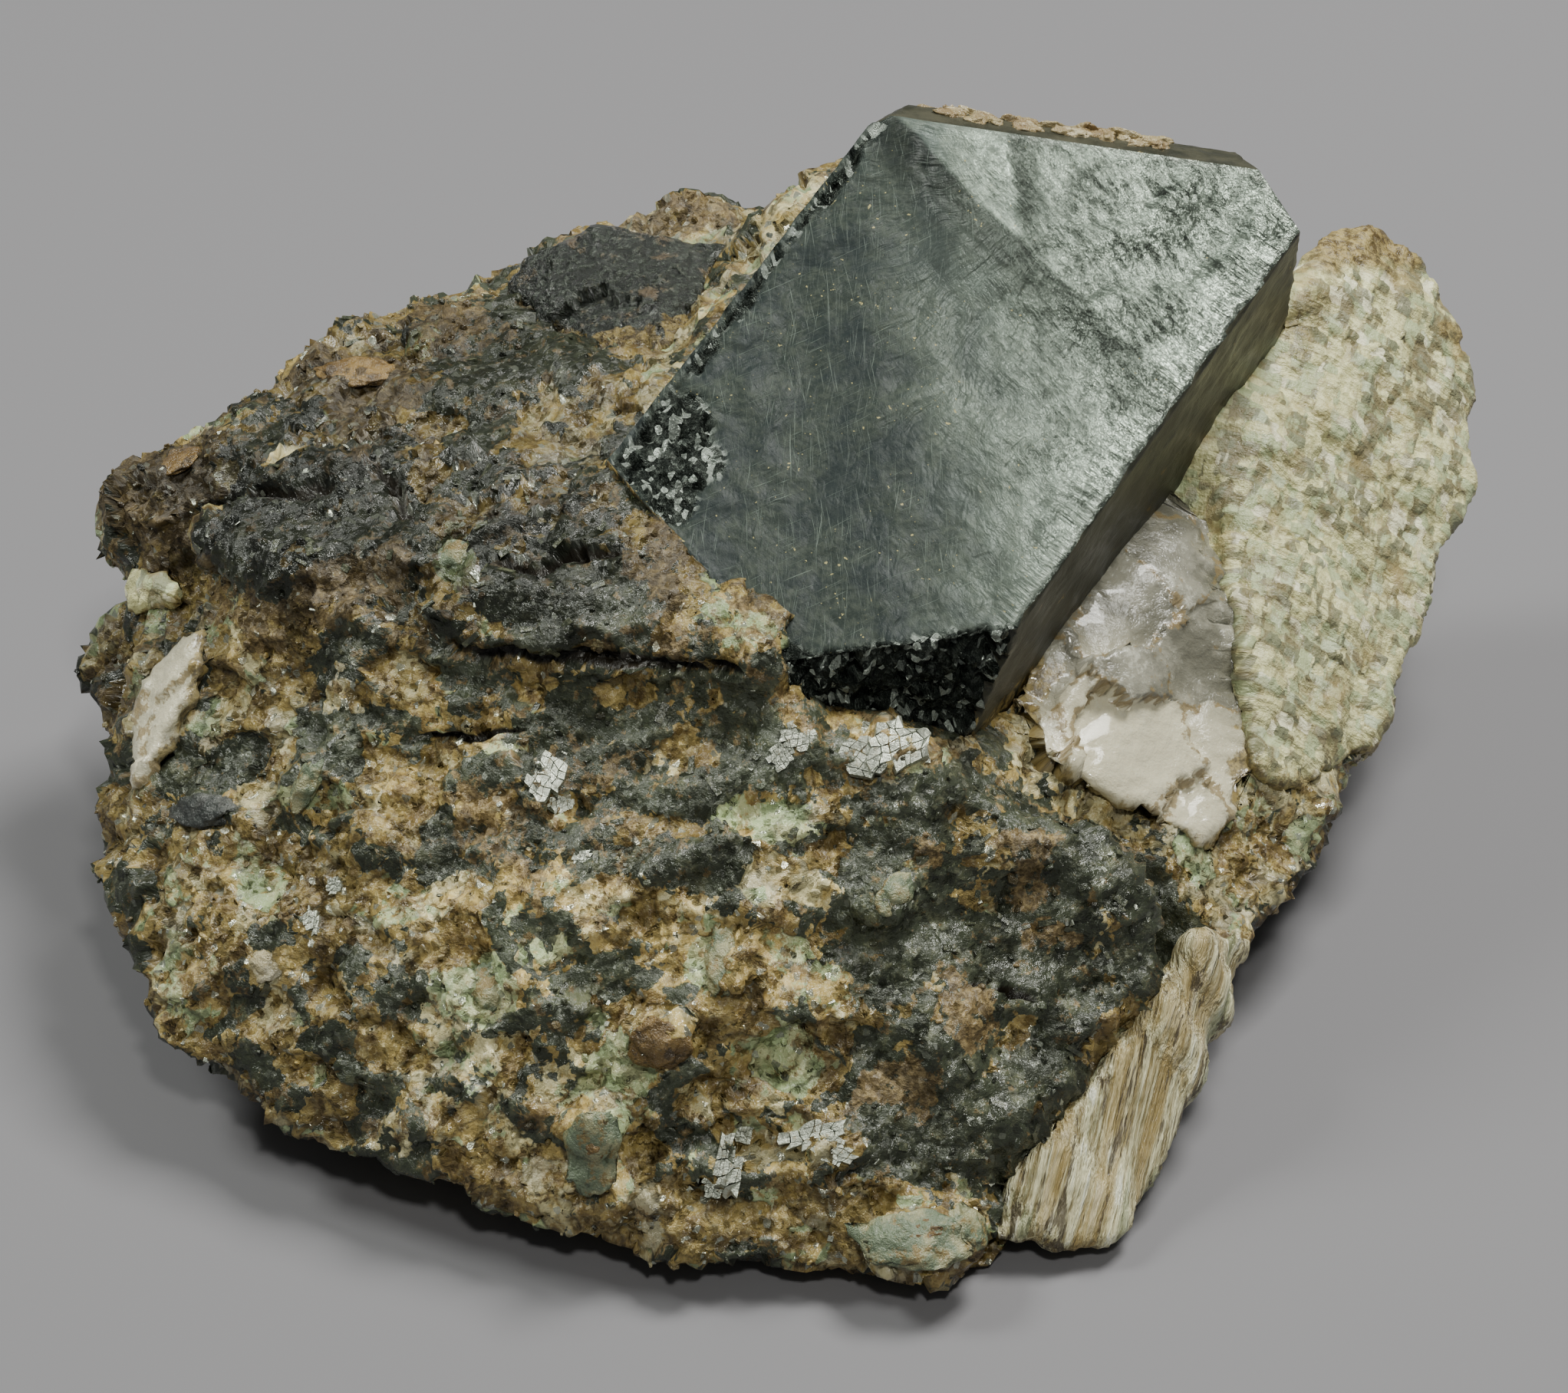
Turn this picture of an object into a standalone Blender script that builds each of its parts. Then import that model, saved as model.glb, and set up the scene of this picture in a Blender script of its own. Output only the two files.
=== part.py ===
"""Allanite crystal grown in a piece of coarse rock, as broken out of the ground.

A thick, dark allanite blade stands out of the top of a block of brown and green rock, with a smaller
dark crystal behind its left edge, a pale feldspar slab along its right side and milky quartz between the
two. Mica books, green grains and dark knobs are grown into the rock itself. Run it with
    blender --background --python part.py
Metres, +Z up. X runs along the front of the specimen, Y towards its back, and the rock rests on z = 0.
"""
import math
import random

import bmesh
import bpy
from mathutils import Matrix, Vector, noise

MM = 0.001

# Driving sizes, in millimetres
BLADE_WIDTH = 26.2          # across the big face of the allanite, between its two long edges
BLADE_LENGTH = 52.0         # along the long edges, before the ends are cut
BLADE_THICKNESS = 17.0      # from the big face down to the face that the rock holds
BLADE_TILT = 21.0           # degrees that the big face leans towards the front
BLADE_ROLL = 3.0            # degrees that it leans to the right
SETTING_GAP = 0.35          # clearance between a mineral and the rock that it is set in
ROCK_DETAIL = 0.9           # size of the cells in which the rock's blocks grow together
MINERAL_DETAIL = 0.75       # the same for the smaller rough minerals

# Knobs of coarser grains that stand out of the rock all over, in millimetres
KNOB_COUNT = 46
KNOB_RADII = (1.3, 2.3)     # of the smallest and the largest
KNOB_SPACING = 6.2          # least distance between two
KNOB_CLEARANCE = 0.8        # least distance from a mineral that is set in the rock
KNOB_SUNK = 0.4             # share of its radius by which the middle of one lies in the rock
KNOB_CORNERS = 9            # points of the hull that makes one
KNOB_LOWEST = 3.5           # height below which the rock has none
SEED = 11

# Triangles that each rough form is reduced to
ROCK_TRIANGLES = 4000
SLAB_TRIANGLES = 1200
FIBRE_TRIANGLES = 520
QUARTZ_TRIANGLES = 380
LENS_TRIANGLES = 200
CHIP_TRIANGLES = 110


def mm(point):
    """A point given in millimetres, in metres."""
    return Vector(point) * MM


def clear_scene():
    for obj in list(bpy.data.objects):
        bpy.data.objects.remove(obj)


def make_material(name, colour, roughness, metallic=0.0):
    material = bpy.data.materials.new(name)
    material.use_nodes = True
    shader = material.node_tree.nodes["Principled BSDF"]
    shader.inputs["Base Color"].default_value = (*colour, 1.0)
    shader.inputs["Roughness"].default_value = roughness
    shader.inputs["Metallic"].default_value = metallic
    return material


def new_object(name, mesh, collection, material=None):
    obj = bpy.data.objects.new(name, mesh)
    collection.objects.link(obj)
    if material:
        mesh.materials.append(material)
    return obj


def mesh_from(bm, name):
    mesh = bpy.data.meshes.new(name)
    bmesh.ops.recalc_face_normals(bm, faces=bm.faces)
    bm.to_mesh(mesh)
    bm.free()
    return mesh


def hull(corners, margin=0.0):
    """A convex block through the given corners, in millimetres, grown by a margin on every side."""
    bm = bmesh.new()
    sides = (-margin, margin) if margin else (0.0,)
    for corner in corners:
        for dx in sides:
            for dy in sides:
                for dz in sides:
                    bm.verts.new(mm(corner) + mm((dx, dy, dz)))
    made = bmesh.ops.convex_hull(bm, input=bm.verts)
    spare = [v for v in made["geom_interior"] + made["geom_unused"] if isinstance(v, bmesh.types.BMVert)]
    bmesh.ops.delete(bm, geom=list(set(spare)), context="VERTS")
    return bm


def grown_together(blocks, cell):
    """One closed mesh of several overlapping convex blocks, through a voxel remesh."""
    joined = bmesh.new()
    for block in blocks:
        piece = bpy.data.meshes.new("block")
        bm = hull(block)
        bm.to_mesh(piece)
        bm.free()
        joined.from_mesh(piece)
        bpy.data.meshes.remove(piece)
    helper = bpy.data.objects.new("helper", mesh_from(joined, "helper"))
    bpy.context.scene.collection.objects.link(helper)
    remesh = helper.modifiers.new("grow together", "REMESH")
    remesh.mode = "VOXEL"
    remesh.voxel_size = cell * MM
    return settled(helper)


def settled(helper):
    """The helper's mesh with its modifiers applied. The helper itself is removed."""
    graph = bpy.context.evaluated_depsgraph_get()
    mesh = bpy.data.meshes.new_from_object(helper.evaluated_get(graph))
    bpy.data.objects.remove(helper)
    return mesh


def weathered(mesh, relief, cell, triangles):
    """Moves each point along its normal by relief(point) millimetres, then cleans and thins the mesh."""
    normals = [v.normal.copy() for v in mesh.vertices]
    for vertex, normal in zip(mesh.vertices, normals):
        vertex.co += normal * relief(vertex.co / MM) * MM
    helper = bpy.data.objects.new("helper", mesh)
    bpy.context.scene.collection.objects.link(helper)
    clean = helper.modifiers.new("clean", "REMESH")
    clean.mode = "VOXEL"
    clean.voxel_size = cell * MM
    whole = settled(helper)
    helper = bpy.data.objects.new("helper", whole)
    bpy.context.scene.collection.objects.link(helper)
    thin = helper.modifiers.new("thin", "DECIMATE")
    thin.ratio = triangles / (2.0 * len(whole.polygons))
    thin.use_collapse_triangulate = True
    return settled(helper)


def ledge(height, step, sharpness):
    """A staircase of treads, between -0.5 and 0.5 of a step, for a foliated rock that breaks in ledges."""
    part = height / step
    within = part - math.floor(part)
    riser = 1.0 / (1.0 + math.exp(-sharpness * (within - 0.5)))
    return (riser - within) * step


def rock_relief(point):
    """Swells, lumps and ledges of the broken rock, in millimetres. Its flat rest keeps none."""
    swell = noise.fractal(point / 16.0, 0.6, 2.1, 3) * 0.9
    lump = (0.40 - noise.voronoi(point / 6.2)[0][0]) * 1.5
    grain = noise.noise(point / 2.8) * 0.5
    foliation = Vector((-0.30, 0.50, 0.80)).normalized()
    steps = ledge(point.dot(foliation) + 1.6 * noise.noise(point / 8.0), 3.6, 12.0) * 0.22
    resting = max(0.0, min(1.0, (point.z - 0.4) / 2.0))
    return (swell + lump + grain + steps) * resting


def slab_relief(point):
    """Blocky cleavage steps of the pale feldspar, in millimetres, cut into its block."""
    along = Vector((0.30, 0.88, 0.37)).normalized()
    across = Vector((0.92, -0.36, 0.12)).normalized()
    block = Vector((point.dot(along) / 4.6, point.dot(across) / 5.4, point.dot(along.cross(across)) / 9.0))
    return -0.5 + noise.cell(block) * 0.65 + noise.noise(point / 3.2) * 0.35


def fibre_relief(point):
    """Shallow columns of the fibrous block, which run down its open side."""
    across = Vector((0.75, 0.62, 0.22)).normalized()
    return -0.5 + noise.cell(Vector((point.dot(across) / 2.2, 0.0, point.z / 16.0))) * 0.5


def quartz_relief(point):
    """Smooth, glassy hollows."""
    return -0.4 + noise.noise(point / 4.5) * 0.7


def blade_ends():
    """The faces that end and bevel the allanite blade: a point on each and its outward normal, in millimetres.

    The blade's own frame has X across its big face, Y up along its long edges and Z out of the face, which
    lies at z = 0.
    """
    right = BLADE_WIDTH / 2
    return (
        ((-right, 13.3, 0.0), (-0.41, 0.91, 1.25)),     # narrow bevel along the top edge
        ((-right, 16.2, 0.0), (-0.40, 0.88, -0.12)),    # end face, behind the bevel
        ((8.2, 23.4, 0.0), (0.50, 0.86, 0.12)),         # slanting corner at the right of the end
        ((-right, 12.2, 0.0), (-0.86, 0.42, 0.60)),     # small facet at the left of the end
        ((right, -13.4, 0.0), (0.62, -0.66, 0.40)),     # broken lower end, above the rock's front
        ((3.8, -23.3, 0.0), (-0.34, -0.94, 0.0)),       # lower end that the rock holds
    )


def blade_matrix():
    """The blade's own frame, with its origin on the big face."""
    tilt, roll = math.radians(BLADE_TILT), math.radians(BLADE_ROLL)
    out = Vector((math.sin(roll), -math.sin(tilt) * math.cos(roll), math.cos(tilt) * math.cos(roll)))
    along = Vector((0.534, 0.799, 0.277))
    along = (along - out * along.dot(out)).normalized()
    turn = Matrix((along.cross(out), along, out)).transposed().to_4x4()
    return Matrix.Translation(mm((9.97, 9.38, 36.74))) @ turn


def blade(margin=0.0):
    """The allanite blade: a box cut by its end and bevel faces, all of them moved out by a margin."""
    bm = bmesh.new()
    bmesh.ops.create_cube(bm, size=1.0)
    size = mm((BLADE_WIDTH, BLADE_LENGTH, BLADE_THICKNESS)) + mm((2, 2, 2)) * margin
    bmesh.ops.scale(bm, vec=size, verts=bm.verts)
    bmesh.ops.translate(bm, vec=mm((0, 0, -BLADE_THICKNESS / 2)), verts=bm.verts)
    for point, normal in blade_ends():
        outward = Vector(normal).normalized()
        cut_away(bm, mm(point) + outward * margin * MM, outward)
    return bm


def cut_away(bm, point, outward):
    """Cuts off what lies beyond a plane and closes the cut."""
    made = bmesh.ops.bisect_plane(
        bm,
        geom=bm.verts[:] + bm.edges[:] + bm.faces[:],
        plane_co=point,
        plane_no=outward,
        clear_outer=True,
    )
    rim = [e for e in made["geom_cut"] if isinstance(e, bmesh.types.BMEdge)]
    bmesh.ops.contextual_create(bm, geom=rim)


# Middle of the specimen's outline among the corners below, in millimetres. It ends up over the origin.
OUTLINE_MIDDLE = (0.8, 1.6, 0.0)

# Corners of the blocks, in millimetres. The blocks of one body overlap and grow together.
FOOT_LEVEL = -0.8
FOOT = ((-18, -20), (0, -28), (13, -28), (22, -14), (27, 8), (16, 26), (-12, 27), (-28, 14), (-29, -6))
FRONT_RIM = ((-38.6, -19.2, 7.6), (-33.2, -23.6, 5.6), (-26.2, -26.6, 4.6), (-17.3, -29.6, 3.8),
             (-4.4, -32.8, 2.8), (9.4, -34.4, 1.5), (13, -33.4, 1.2))
FRONT_BLOCK = (
    *((x, y, FOOT_LEVEL) for x, y in FOOT), *FRONT_RIM,
    (-42.6, -2.8, 11.6), (-41.8, -9.0, 9.5), (-40.5, 3, 17), (-34, -1, 24.5), (-20.3, -7.4, 26), (-9, -9.8, 26.8), (0.7, -13.0, 26.5),
    (9.1, -13.5, 23.6), (-12, -22, 17.4), (-30, -14, 15), (22, -12, 11), (24, 14, 16), (-30, 20, 24),
    (12, 26, 20),
)
TOP_BLOCK = (
    (-33, 0.5, 26.8), (-20.3, -7.2, 28.2), (-9, -8.8, 29.8), (0.7, -12.4, 30.4), (-33, 0.5, 25), (-20.3, -6, 24.5),
    (0, -11, 25), (-34.7, 17.8, 27.5), (-29.5, 22.6, 29.5), (-25.6, 23.9, 29.7), (-19.8, 27.2, 30.8), (-4, 28, 33),
    (-8.8, 5.4, 34.4), (-9.9, 1.6, 34.0), (-2.6, -1.9, 32.6), (-1.6, -8.1, 31.6), (-32, 26, 16), (-12, 33, 18),
    (8, 4, 26),
)
LEFT_LOBE = (
    (-44.2, 16.1, 20), (-41.1, 17, 24.2), (-34.7, 17.8, 28.3), (-31, 9, 28.5), (-38.5, 10.5, 25),
    (-43.2, 13, 21), (-38, 21, 18), (-34, 24, 17), (-40, 8, 18), (-30, 14, 15),
)
LEFT_FOOT = (
    (-44.3, 9.6, 15.6), (-44.0, 7.5, 12.6), (-42.5, 11, 16.2), (-37, 6.5, 19.5), (-35, 3, 19), (-41.5, 3, 12),
    (-40.5, 13, 9), (-34, 18, 8), (-32, 10, 10), (-36, -4, 10),
)
DARK_RIDGE = (
    (-35.8, 3.0, 25.2), (-36.2, 6.2, 27.2), (-31.6, 9.4, 30.2), (-20.8, 7.6, 33.0), (-20.3, -1.4, 31.0),
    (-29, -1.6, 28.6), (-34, 8.5, 22), (-22, 3, 25),
)
DARK_PLATE = (
    (-18.7, 5.3, 32.6), (-14, 5.4, 33.8), (-9.6, 1.6, 34.6), (-8.6, -6.2, 32.8), (-11.8, -7.8, 31.2),
    (-17.8, -6.0, 30.6), (-18, 4, 28), (-10, -6, 28),
)
BROWN_CHIP = (
    (-9.6, 28.6, 34.2), (-9.2, 30.2, 34.6), (-6.3, 30.6, 36.0), (-2.6, 30.2, 35.7), (-2.0, 28.0, 34.2),
    (-8.5, 27.2, 33.4), (-2.6, 26.8, 33.2), (-9, 31, 31), (-2, 31, 31), (-5, 27, 31),
)
BACK_BLOCK = (
    (-30, 22, 28), (-19.8, 27.5, 31), (-9.1, 30.4, 33.8), (-6.3, 31.4, 35.2), (-2.8, 31.6, 34.4), (4, 31, 32),
    (-28, 27, 12), (-10, 36, 14), (10, 37, 15), (20, 34, 14), (14, 30, 26), (0, 22, 31), (-10, 20, 26),
    (-24, 24, 4), (0, 33, 3), (20, 30, 3),
)
LEFT_SEAM = (
    (4.8, 27.8, 40.4), (1.8, 24.2, 38.8), (-2.8, 14.5, 36.8), (-7.5, 7.0, 34.8), (0.4, 27.0, 36.4),
    (-2.3, 26.4, 34.4), (-4.7, 17.3, 33.8), (-8, 11.5, 33.4), (8, 30, 34), (4, 20, 30), (-4, 6, 30), (2, 31, 34),
    (7, 33, 37), (-6, 22, 30),
)
RIGHT_BLOCK = (
    (34.1, 1.8, 8.6), (31.3, -4.8, 6.6), (26.8, -15.6, 5), (37.2, 5, 9), (36.5, 14, 6), (34, 26, 7), (27, 33, 9),
    (24, -8, 15), (31.5, 0, 12.5), (20, -4, 17.5), (22, 10, 17), (28, 26, 20), (12, 0, 12), (14, 30, 20),
    (24, -10, 1), (29, 6, 1.2), (22, 28, 1.2), (12, -14, 3), (6, 20, 6), (10, 35, 22), (22, 33, 24),
    (33.8, 31, 25),
)
DARK_WEDGE = (
    (9.1, -13.2, 23.4), (13.8, -10.2, 20.2), (20.4, -12.2, 16.4), (25.4, -15.6, 14.2), (24.6, -17.2, 12.8),
    (22.2, -18.6, 11.6), (17.6, -24.8, 7.6), (12.5, -27.5, 6.4), (2.5, -24, 11.4), (3, -17, 20), (10, -10, 12),
    (14, -16, 5), (4, -24, 6), (10.5, -29.5, 5.2),
)
ROCK_BLOCKS = (
    FRONT_BLOCK, TOP_BLOCK, LEFT_LOBE, LEFT_FOOT, DARK_RIDGE, DARK_PLATE, BACK_BLOCK, BROWN_CHIP, LEFT_SEAM,
    RIGHT_BLOCK, DARK_WEDGE,
)
SMALL_CRYSTAL = (
    (-17.7, 24.2, 31.4), (-16.4, 25.2, 33.4), (-11.7, 26.2, 34.8), (-2.9, 25.6, 34.4), (-4.3, 20.4, 34.0),
    (-6.4, 16.2, 33.2), (-10.4, 15.9, 32.2), (-14.8, 20.2, 31.4), (-14, 24, 26), (-5, 25, 27), (-7, 18, 27),
    (-11, 18, 26),
)
SLAB_BLOCK = (
    (31.2, 24.0, 29.6), (33.8, 30, 28.8), (35.6, 35.8, 28.4), (39.3, 37.0, 28.6), (43.6, 37.2, 26), (45.2, 35.8, 23),
    (46.3, 31, 19), (44.8, 21.6, 15.6), (40.6, 12, 11.6), (37.8, 4.8, 9.8), (35, 0.8, 10.4), (31.5, -2.5, 11.8),
    (29.4, -3.2, 13.6), (27.0, -0.6, 16.8), (24.4, 5.0, 19.8), (22.8, 11.6, 23.8), (25.4, 17.4, 26.4),
    (32, 33, 15), (39, 32, 12), (38, 18, 9), (34, 6, 8.6), (28, 10, 12),
)
QUARTZ_BLOCK = (
    (14.3, -3.6, 21.2), (20, 6, 23.4), (27.1, 16.8, 25.6), (24.9, 11.2, 22.8), (24.7, 4.6, 18.8), (26.9, -0.9, 16.0),
    (28.8, -4.4, 13.0), (26.2, -8.8, 12.2), (21, -7.7, 16.5), (14, -8.2, 20.6), (17, -2, 15), (24, 6, 15),
    (26, -4, 9.5),
)
FIBRE_BLOCK = (
    (11.0, -32.4, 1.2), (14.4, -33.2, 1.0), (21.2, -29.8, 1.0), (23.2, -26, 3.0), (26.9, -16.4, 5.0),
    (29.8, -9.5, 8), (27.8, -11.5, 12.4), (25.5, -14.2, 13.2), (22.2, -18.2, 10.8), (17.4, -24.4, 6.8),
    (12.0, -29.8, 4.4), (12.5, -28, 0.7), (20, -26.5, 0.7), (24, -14, 2.6), (16, -18, 3),
)
LENS_BLOCK = (
    (-40.9, 1.8, 19.0), (-37.8, 3.4, 22.4), (-34.2, 2.4, 23.8), (-35.0, -1.6, 22.6), (-38.6, -6.4, 17.4),
    (-40.4, -8.8, 14.2), (-41.6, -5.4, 14.6), (-35.5, -3.6, 16.5), (-36, 2, 17),
)
CHIP_BLOCK = (
    (-41.4, 10.6, 21.4), (-37.8, 8.4, 23.8), (-36.6, 6.8, 22.4), (-37.4, 4.8, 20.4), (-41.6, 7.4, 18.8),
    (-39.5, 10.5, 16.5), (-36.5, 8.5, 17.5),
)
OPEN_CRACK = (
    (-22, -9.5, 26.2), (-9, -12.5, 27.4), (3, -16, 28.2), (-22, -9.5, 27.2), (-9, -12.5, 28.4), (3, -16, 28.8),
    (-18, -1.5, 26.0), (-4, -5.0, 27.2),
)

# Small crystals grown into the rock: a point near each on its face, the long, short and upright radius,
# and the turn there in degrees
MICA_BOOKS = (
    ((6.5, -11.2, 23.6), (2.7, 2.1, 0.9), 60.0),
    ((1.1, -11.6, 24.8), (1.9, 1.3, 0.9), 100.0),
    ((-14.4, -12.6, 22.0), (2.1, 1.4, 0.9), 100.0),
    ((2.5, -28.2, 7.0), (2.6, 1.3, 0.9), 30.0),
    ((-3.0, -29.8, 7.0), (2.3, 1.2, 0.9), 80.0),
)
GREEN_GRAINS = (
    ((-10.8, -28.2, 8.0), (3.4, 1.9, 1.5), 80.0),
    ((8.2, -32.2, 3.5), (3.7, 1.9, 1.5), 5.0),
    ((-2.3, -21.0, 16.0), (3.2, 1.5, 1.4), 80.0),
    ((6.2, -18.6, 18.0), (2.6, 1.8, 1.4), 40.0),
    ((-29.0, -9.6, 18.5), (2.3, 1.5, 1.3), 70.0),
    ((-18.3, -21.8, 12.0), (2.0, 1.4, 1.2), 60.0),
    ((-7.2, -24.6, 13.0), (2.0, 1.6, 1.3), 20.0),
)


def rough_piece(name, blocks, cell, relief, triangles, collection, material):
    """A rough mineral or rock body, as a mesh in the specimen's frame."""
    mesh = weathered(grown_together(blocks, cell), relief, cell, triangles)
    mesh.name = name
    return new_object(name, mesh, collection, material)


def cut_flat_foot(obj):
    """Cuts the rock's underside flat at z = 0, where it rests."""
    bm = bmesh.new()
    bm.from_mesh(obj.data)
    cut_away(bm, Vector((0, 0, 0)), Vector((0, 0, -1)))
    bm.to_mesh(obj.data)
    bm.free()


def standing_frame(place, out, turn):
    """The frame at a point of a surface, with Z out of it, turned by some degrees about Z."""
    across = Vector((1, 0, 0))
    across = (across - out * across.dot(out)).normalized()
    frame = Matrix((across, out.cross(across), out)).transposed().to_4x4()
    return Matrix.Translation(place) @ frame @ Matrix.Rotation(math.radians(turn), 4, "Z")


def grain(radii):
    """A rounded grain with flats."""
    bm = bmesh.new()
    bmesh.ops.create_icosphere(bm, subdivisions=1, radius=1.0)
    bmesh.ops.scale(bm, vec=mm(radii), verts=bm.verts)
    return bm


def mica_book(radii):
    """A short stack of mica sheets with six sides."""
    bm = bmesh.new()
    bmesh.ops.create_cone(bm, cap_ends=True, segments=6, radius1=1.0, radius2=0.9, depth=2.0)
    bmesh.ops.scale(bm, vec=mm(radii), verts=bm.verts)
    return bm


def knob(radius, rng):
    """An angular grain: the hull of a few points around its middle."""
    flatness = rng.uniform(0.5, 1.0)
    corners = []
    for _ in range(KNOB_CORNERS):
        direction = Vector((rng.gauss(0, 1), rng.gauss(0, 1), rng.gauss(0, 1))).normalized()
        corners.append((direction.x * radius, direction.y * radius * flatness, direction.z * radius * 0.8))
    return hull(corners)


def away_from(place, distance, others):
    """Whether a point lies outside all the closed objects given and at least a distance from each."""
    for other in others:
        local = other.matrix_world.inverted() @ place
        _, nearest, out, _ = other.closest_point_on_mesh(local)
        offset = local - nearest
        if offset.length < distance or offset.dot(out) < 0:
            return False
    return True


def grown_grains(rock, sockets):
    """Mica books, green grains and scattered knobs, all in one mesh and none touching another."""
    joined = bmesh.new()
    taken = []

    def add(bm, matrix):
        piece = mesh_from(bm, "grain")
        piece.transform(matrix)
        joined.from_mesh(piece)
        bpy.data.meshes.remove(piece)
        taken.append(matrix.translation.copy())

    for grains, shape in ((MICA_BOOKS, mica_book), (GREEN_GRAINS, grain)):
        for near, radii, turn in grains:
            _, place, out, _ = rock.closest_point_on_mesh(mm(near))
            add(shape(radii), standing_frame(place, out, turn))

    rng = random.Random(SEED)
    faces = list(rock.data.polygons)
    areas = [face.area for face in faces]
    while len(taken) < KNOB_COUNT + len(MICA_BOOKS) + len(GREEN_GRAINS):
        face = rng.choices(faces, areas)[0]
        radius = rng.uniform(*KNOB_RADII)
        place = face.center
        crowded = any((place - other).length < KNOB_SPACING * MM for other in taken)
        if place.z < KNOB_LOWEST * MM or crowded:
            continue
        if away_from(place, (radius + KNOB_CLEARANCE) * MM, sockets):
            middle = place - face.normal * radius * KNOB_SUNK * MM
            add(knob(radius, rng), standing_frame(middle, face.normal, rng.uniform(0, 360)))
    return joined


def guide(name, bm, collection, matrix=None):
    """A closed shape that only cuts or joins others, and is no piece of the specimen."""
    obj = new_object(name, mesh_from(bm, name), collection)
    if matrix:
        obj.matrix_world = matrix
    obj.hide_render = True
    obj.display_type = "WIRE"
    return obj


def combine(obj, operation, guides):
    for other in guides:
        step = obj.modifiers.new(operation.lower() + " " + other.name, "BOOLEAN")
        step.operation = operation
        step.object = other


def main():
    clear_scene()
    specimen = bpy.data.collections.new("allanite in matrix")
    guides = bpy.data.collections.new("guides")
    bpy.context.scene.collection.children.link(specimen)
    bpy.context.scene.collection.children.link(guides)

    allanite = make_material("allanite", (0.030, 0.038, 0.038), 0.34)
    rock_stone = make_material("rock", (0.17, 0.12, 0.07), 0.62)
    feldspar = make_material("feldspar", (0.52, 0.47, 0.32), 0.6)
    quartz = make_material("quartz", (0.45, 0.41, 0.34), 0.3)
    tremolite = make_material("tremolite", (0.42, 0.38, 0.25), 0.55)

    crystal = new_object("allanite_crystal", mesh_from(blade(), "blade"), specimen, allanite)
    crystal.matrix_world = blade_matrix()
    blade_socket = guide("blade socket", blade(SETTING_GAP), guides, blade_matrix())
    new_object("allanite_crystal_small", mesh_from(hull(SMALL_CRYSTAL), "small crystal"), specimen, allanite)
    small_socket = guide("small crystal socket", hull(SMALL_CRYSTAL, SETTING_GAP), guides)

    rough_minerals = (
        ("feldspar_slab", SLAB_BLOCK, slab_relief, SLAB_TRIANGLES, feldspar),
        ("milky_quartz", QUARTZ_BLOCK, quartz_relief, QUARTZ_TRIANGLES, quartz),
        ("fibrous_tremolite", FIBRE_BLOCK, fibre_relief, FIBRE_TRIANGLES, tremolite),
        ("quartz_lens", LENS_BLOCK, quartz_relief, LENS_TRIANGLES, quartz),
        ("feldspar_chip", CHIP_BLOCK, quartz_relief, CHIP_TRIANGLES, feldspar),
    )
    bodies, sockets = {}, {}
    for name, block, relief, triangles, material in rough_minerals:
        bodies[name] = rough_piece(name, (block,), MINERAL_DETAIL, relief, triangles, specimen, material)
        sockets[name] = guide(name + " socket", hull(block, SETTING_GAP), guides)
    combine(bodies["feldspar_slab"], "DIFFERENCE", (blade_socket, sockets["milky_quartz"]))
    combine(bodies["milky_quartz"], "DIFFERENCE", (blade_socket,))
    combine(bodies["feldspar_chip"], "DIFFERENCE", (sockets["quartz_lens"],))

    rock = rough_piece("matrix_rock", ROCK_BLOCKS, ROCK_DETAIL, rock_relief, ROCK_TRIANGLES, specimen, rock_stone)
    cut_flat_foot(rock)
    all_sockets = (blade_socket, small_socket, *sockets.values())
    grains = guide("grown grains", grown_grains(rock, all_sockets), guides)
    crack = guide("open crack", hull(OPEN_CRACK), guides)
    combine(rock, "UNION", (grains,))
    combine(rock, "DIFFERENCE", (*all_sockets, crack))

    origin = bpy.data.objects.new("specimen origin", None)
    specimen.objects.link(origin)
    origin.location = -mm(OUTLINE_MIDDLE)
    for piece in (*specimen.objects, *guides.objects):
        if piece is not origin:
            piece.parent = origin


main()
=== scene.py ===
"""Dresses the allanite specimen: the relief, grain and colours of its rock, crystals and minerals.

Each operator makes one piece, or a group of like pieces, around the specimen's fixed solids. Lengths in the
shader and relief trees are millimetres, and meshes are in metres.
"""

import math
import random

import bmesh
import bpy
import numpy as np
from bpy.props import FloatProperty, FloatVectorProperty, IntProperty, PointerProperty
from mathutils import Matrix, Vector, noise
from mathutils.bvhtree import BVHTree
from mathutils.kdtree import KDTree


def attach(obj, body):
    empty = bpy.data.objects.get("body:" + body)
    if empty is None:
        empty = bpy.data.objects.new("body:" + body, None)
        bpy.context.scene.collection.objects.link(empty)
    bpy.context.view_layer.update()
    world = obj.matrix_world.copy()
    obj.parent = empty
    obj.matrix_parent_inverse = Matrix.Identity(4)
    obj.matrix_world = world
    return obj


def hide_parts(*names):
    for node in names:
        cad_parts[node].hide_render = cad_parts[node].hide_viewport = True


bl_info = {
    "name": "Allanite Specimen",
    "version": (1, 0, 0),
    "blender": (4, 5, 0),
    "location": "3D View > Sidebar > Specimen",
    "description": "Relief, grain and colours of an allanite crystal in its rock",
    "category": "Object",
}

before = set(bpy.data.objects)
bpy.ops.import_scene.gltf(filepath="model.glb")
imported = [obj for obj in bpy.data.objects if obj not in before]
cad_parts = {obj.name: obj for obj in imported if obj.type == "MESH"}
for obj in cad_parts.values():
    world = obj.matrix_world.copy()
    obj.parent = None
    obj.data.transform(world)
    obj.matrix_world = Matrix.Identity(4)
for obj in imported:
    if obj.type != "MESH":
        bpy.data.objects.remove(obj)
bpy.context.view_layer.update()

MM = 0.001
PHOTO_WIDTH, PHOTO_HEIGHT = 2044, 1816
SENSOR = 36.0

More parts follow.
